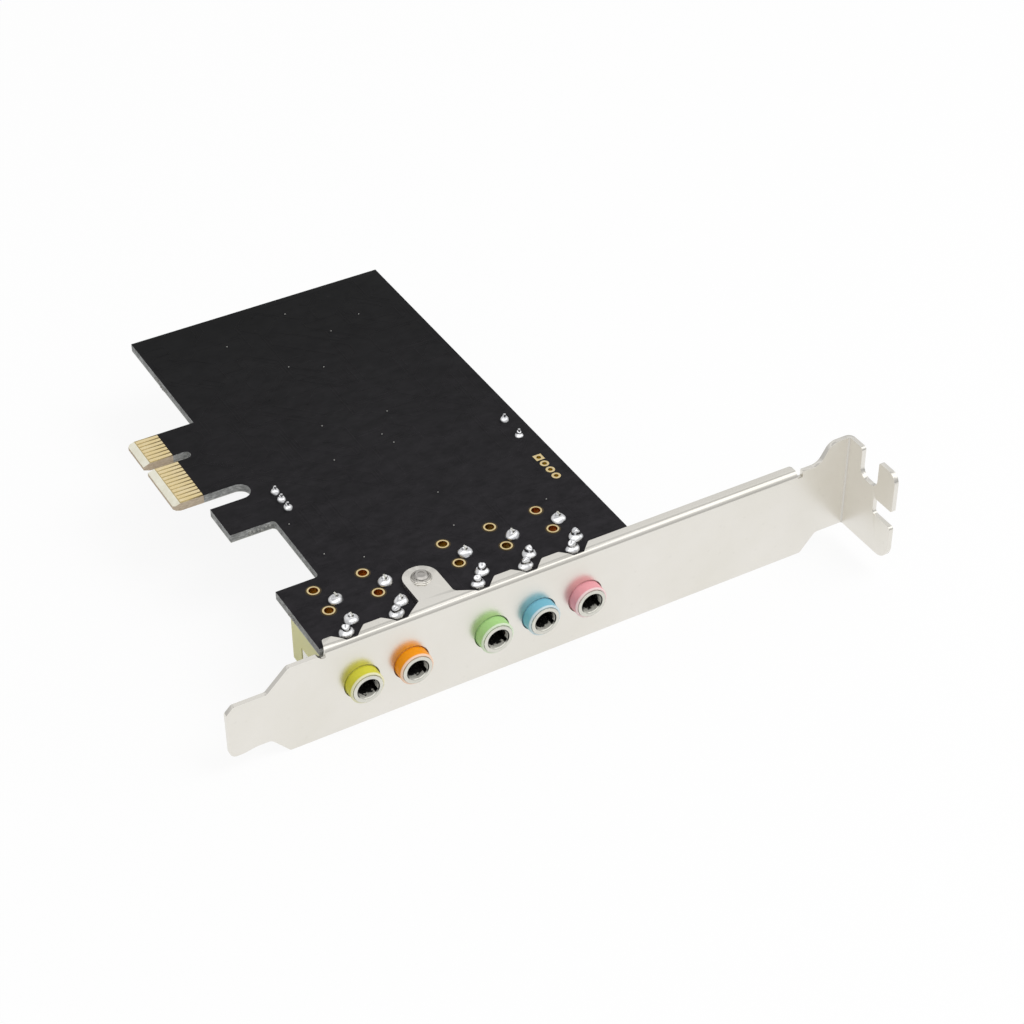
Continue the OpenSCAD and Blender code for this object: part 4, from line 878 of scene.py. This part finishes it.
def add_collar_burr():
    """Torn lip that the thread's punch leaves on top of the bracket's collar."""
    rng = random.Random(7)
    base, sunk, sides = TOP_Z + SHEET + COLLAR_H, 0.2, 36
    heights = [rng.uniform(0.12, 0.4) for _ in range(sides)]
    loops = []
    for r, share in ((1.3, -0.3), (1.3, 0.7), (1.4, 1.0), (1.52, 0.75), (1.64, 0.15), (1.78, -0.95)):
        loops.append([(x, y, base + share * (height if share > 0 else sunk))
                      for (x, y, _), height in zip(circle(*screw_axis(), base, r, sides), heights)])
    rows = len(loops)
    faces = [(k * sides + i, k * sides + (i + 1) % sides, (k + 1) % rows * sides + (i + 1) % sides,
              (k + 1) % rows * sides + i) for k in range(rows) for i in range(sides)]
    form = Form()
    form.add([v for loop in loops for v in loop], faces)
    form.piece("collar_burr", TORN_STEEL, "plated_steel", smooth=True)


add_solder_joints()
add_window_blades()
add_collar_burr()
add_pad_rims()
add_copper()
add_print()
add_can_marks()
add_torn_edges()
add_screw_thread()


# Camera and studio
def set_camera():
    """The photograph's camera, from a fit of the card's corners, holes and noses: where it stands, in
    millimetres, and how it is turned."""
    focal_px, image_px, sensor = 2374.931, 1024, 36.0
    place = Vector((-107.2951, -316.9649, 251.1857)) * MM
    azimuth, elevation, roll = (math.radians(a) for a in (-29.6796, 38.4152, -0.2901))
    back = Vector((math.sin(azimuth) * math.cos(elevation), -math.cos(azimuth) * math.cos(elevation),
                   math.sin(elevation)))
    right = (-back).cross(Vector((0, 0, 1))).normalized()
    up = right.cross(-back)
    side = math.cos(roll) * right + math.sin(roll) * up
    top = math.cos(roll) * up - math.sin(roll) * right
    data = bpy.data.cameras.new("camera")
    data.sensor_width = sensor
    data.lens = focal_px * sensor / image_px
    data.clip_start = 0.01
    data.clip_end = 10
    camera = bpy.data.objects.new("camera", data)
    bpy.context.scene.collection.objects.link(camera)
    camera.matrix_world = Matrix.Translation(place) @ Matrix((side, top, back)).transposed().to_4x4()
    bpy.context.scene.camera = camera


def set_world(ambient):
    """White to the camera and a plain soft level as light. Metal mirrors a studio: a pale
    backdrop behind the card, a broad soft lamp above its front and a grey room low down."""
    world = bpy.data.worlds.new("studio")
    bpy.context.scene.world = world
    world.use_nodes = True
    tree = world.node_tree
    shader = tree.nodes["Background"]
    path = tree.nodes.new("ShaderNodeLightPath").outputs

    def link(node, values):
        """Gives a node its inputs, in order, and gives back its output."""
        for socket, value in zip(node.inputs, values):
            if isinstance(value, bpy.types.NodeSocket):
                tree.links.new(value, socket)
            else:
                socket.default_value = value
        return node.outputs[0]

    def math_node(op, a, b):
        n = tree.nodes.new("ShaderNodeMath")
        n.operation = op
        return link(n, (a, b))

    def ramp(value, low, high, start=0.0, end=1.0):
        return link(tree.nodes.new("ShaderNodeMapRange"), (value, low, high, start, end))

    split = tree.nodes.new("ShaderNodeSeparateXYZ")
    tree.links.new(tree.nodes.new("ShaderNodeTexCoord").outputs["Generated"], split.inputs[0])
    x, y, z = split.outputs

    # Room: paler with height, dark straight above, with the pale backdrop behind the card
    room = math_node("MINIMUM", ramp(z, 0.0, 0.5, 0.52, 0.72), ramp(z, 0.69, 0.8, 1.0, 0.4))
    backdrop = math_node("MULTIPLY", ramp(z, 0.58, 0.68, 0.0, 0.22), ramp(y, -0.1, 0.2))
    room = math_node("ADD", room, backdrop)

    # Lamp: from the card's front up to nearly overhead; its front edge draws back near x = notch_x
    lamp_level, notch_x = 1.4, 0.42
    off_notch = math_node("ABSOLUTE", math_node("SUBTRACT", x, notch_x), 0)
    front_edge = ramp(off_notch, 0.1, 0.3, -0.63, -0.8)
    lamp = math_node("MULTIPLY", ramp(y, 0.1, -0.06), ramp(math_node("SUBTRACT", y, front_edge), -0.06, 0.06))
    lamp = math_node("MULTIPLY", lamp, ramp(z, 0.3, 0.5))
    gray = math_node("ADD", math_node("MULTIPLY", room, math_node("SUBTRACT", 1.0, lamp)),
                     math_node("MULTIPLY", lamp, lamp_level))

    # What each kind of ray meets
    seen = math_node("MAXIMUM", path["Is Camera Ray"], path["Is Transmission Ray"])
    glossy = math_node("MULTIPLY", gray, path["Is Glossy Ray"])
    other = math_node("SUBTRACT", 1.0, math_node("MAXIMUM", seen, path["Is Glossy Ray"]))
    soft = math_node("MULTIPLY", ramp(x, -1.0, 1.0, 0.6, 1.3), ambient)
    level = math_node("ADD", math_node("ADD", seen, glossy), math_node("MULTIPLY", other, soft))
    tree.links.new(level, shader.inputs["Strength"])
    shader.inputs["Color"].default_value = (1, 1, 1, 1)


def add_floor(height, size=4.0, shade=0.1):
    """White floor that keeps a faint shadow, and lets a camera below it see the card."""
    mesh = bpy.data.meshes.new("floor")
    corners = [(x * size, y * size, height) for x, y in ((-1, -1), (1, -1), (1, 1), (-1, 1))]
    mesh.from_pydata(corners, [], [(0, 1, 2, 3)])
    obj = bpy.data.objects.new("floor", mesh)
    bpy.context.scene.collection.objects.link(obj)
    g = Graph("floor_white")
    lit = g.node("ShaderNodeBsdfDiffuse", {"Color": (0.95, 0.95, 0.95)})
    white = g.node("ShaderNodeEmission", {"Color": (1, 1, 1), "Strength": 1.0})
    path = g.node("ShaderNodeLightPath").outputs
    x, y, _ = g.axes()
    pool = g.math("MULTIPLY", path["Is Glossy Ray"], g.ramp(g.distance(x, y), 0.16, 0.3, 0.0, 0.6))
    g.put(white.inputs["Strength"], g.math("SUBTRACT", 1.0, pool))
    seen = g.math("MAXIMUM", g.math("MAXIMUM", path["Is Camera Ray"], path["Is Glossy Ray"]),
                  path["Is Transmission Ray"])
    blend = g.node("ShaderNodeMixShader", {0: g.math("MULTIPLY", seen, 1.0 - shade), 1: lit.outputs[0],
                                           2: white.outputs[0]})
    clear = g.node("ShaderNodeBsdfTransparent")
    behind = g.node("ShaderNodeNewGeometry").outputs["Backfacing"]
    both = g.node("ShaderNodeMixShader", {0: behind, 1: blend.outputs[0], 2: clear.outputs[0]})
    g.tree.links.new(both.outputs[0], g.out.inputs[0])
    mesh.materials.append(g.mat)


def add_lamp(name, place, aim, power, size):
    """Square lamp that metal doesn't mirror."""
    data = bpy.data.lights.new(name, "AREA")
    data.energy = power
    data.size = size
    lamp = bpy.data.objects.new(name, data)
    bpy.context.scene.collection.objects.link(lamp)
    lamp.location = place
    lamp.rotation_mode = "QUATERNION"
    lamp.rotation_quaternion = (Vector(aim) - Vector(place)).to_track_quat("-Z", "Y")
    lamp.visible_glossy = False


bpy.context.scene.view_settings.view_transform = "Standard"
set_camera()
set_world(0.7)
add_floor(CAD_BOX[0].z - 0.1 * MM)
CARD = (0.04, -0.02, 0.0)
add_lamp("key", (0.45, -0.35, 0.75), CARD, 3.2, 0.5)
add_lamp("fill", (-0.6, -0.5, 0.5), CARD, 0.45, 0.7)
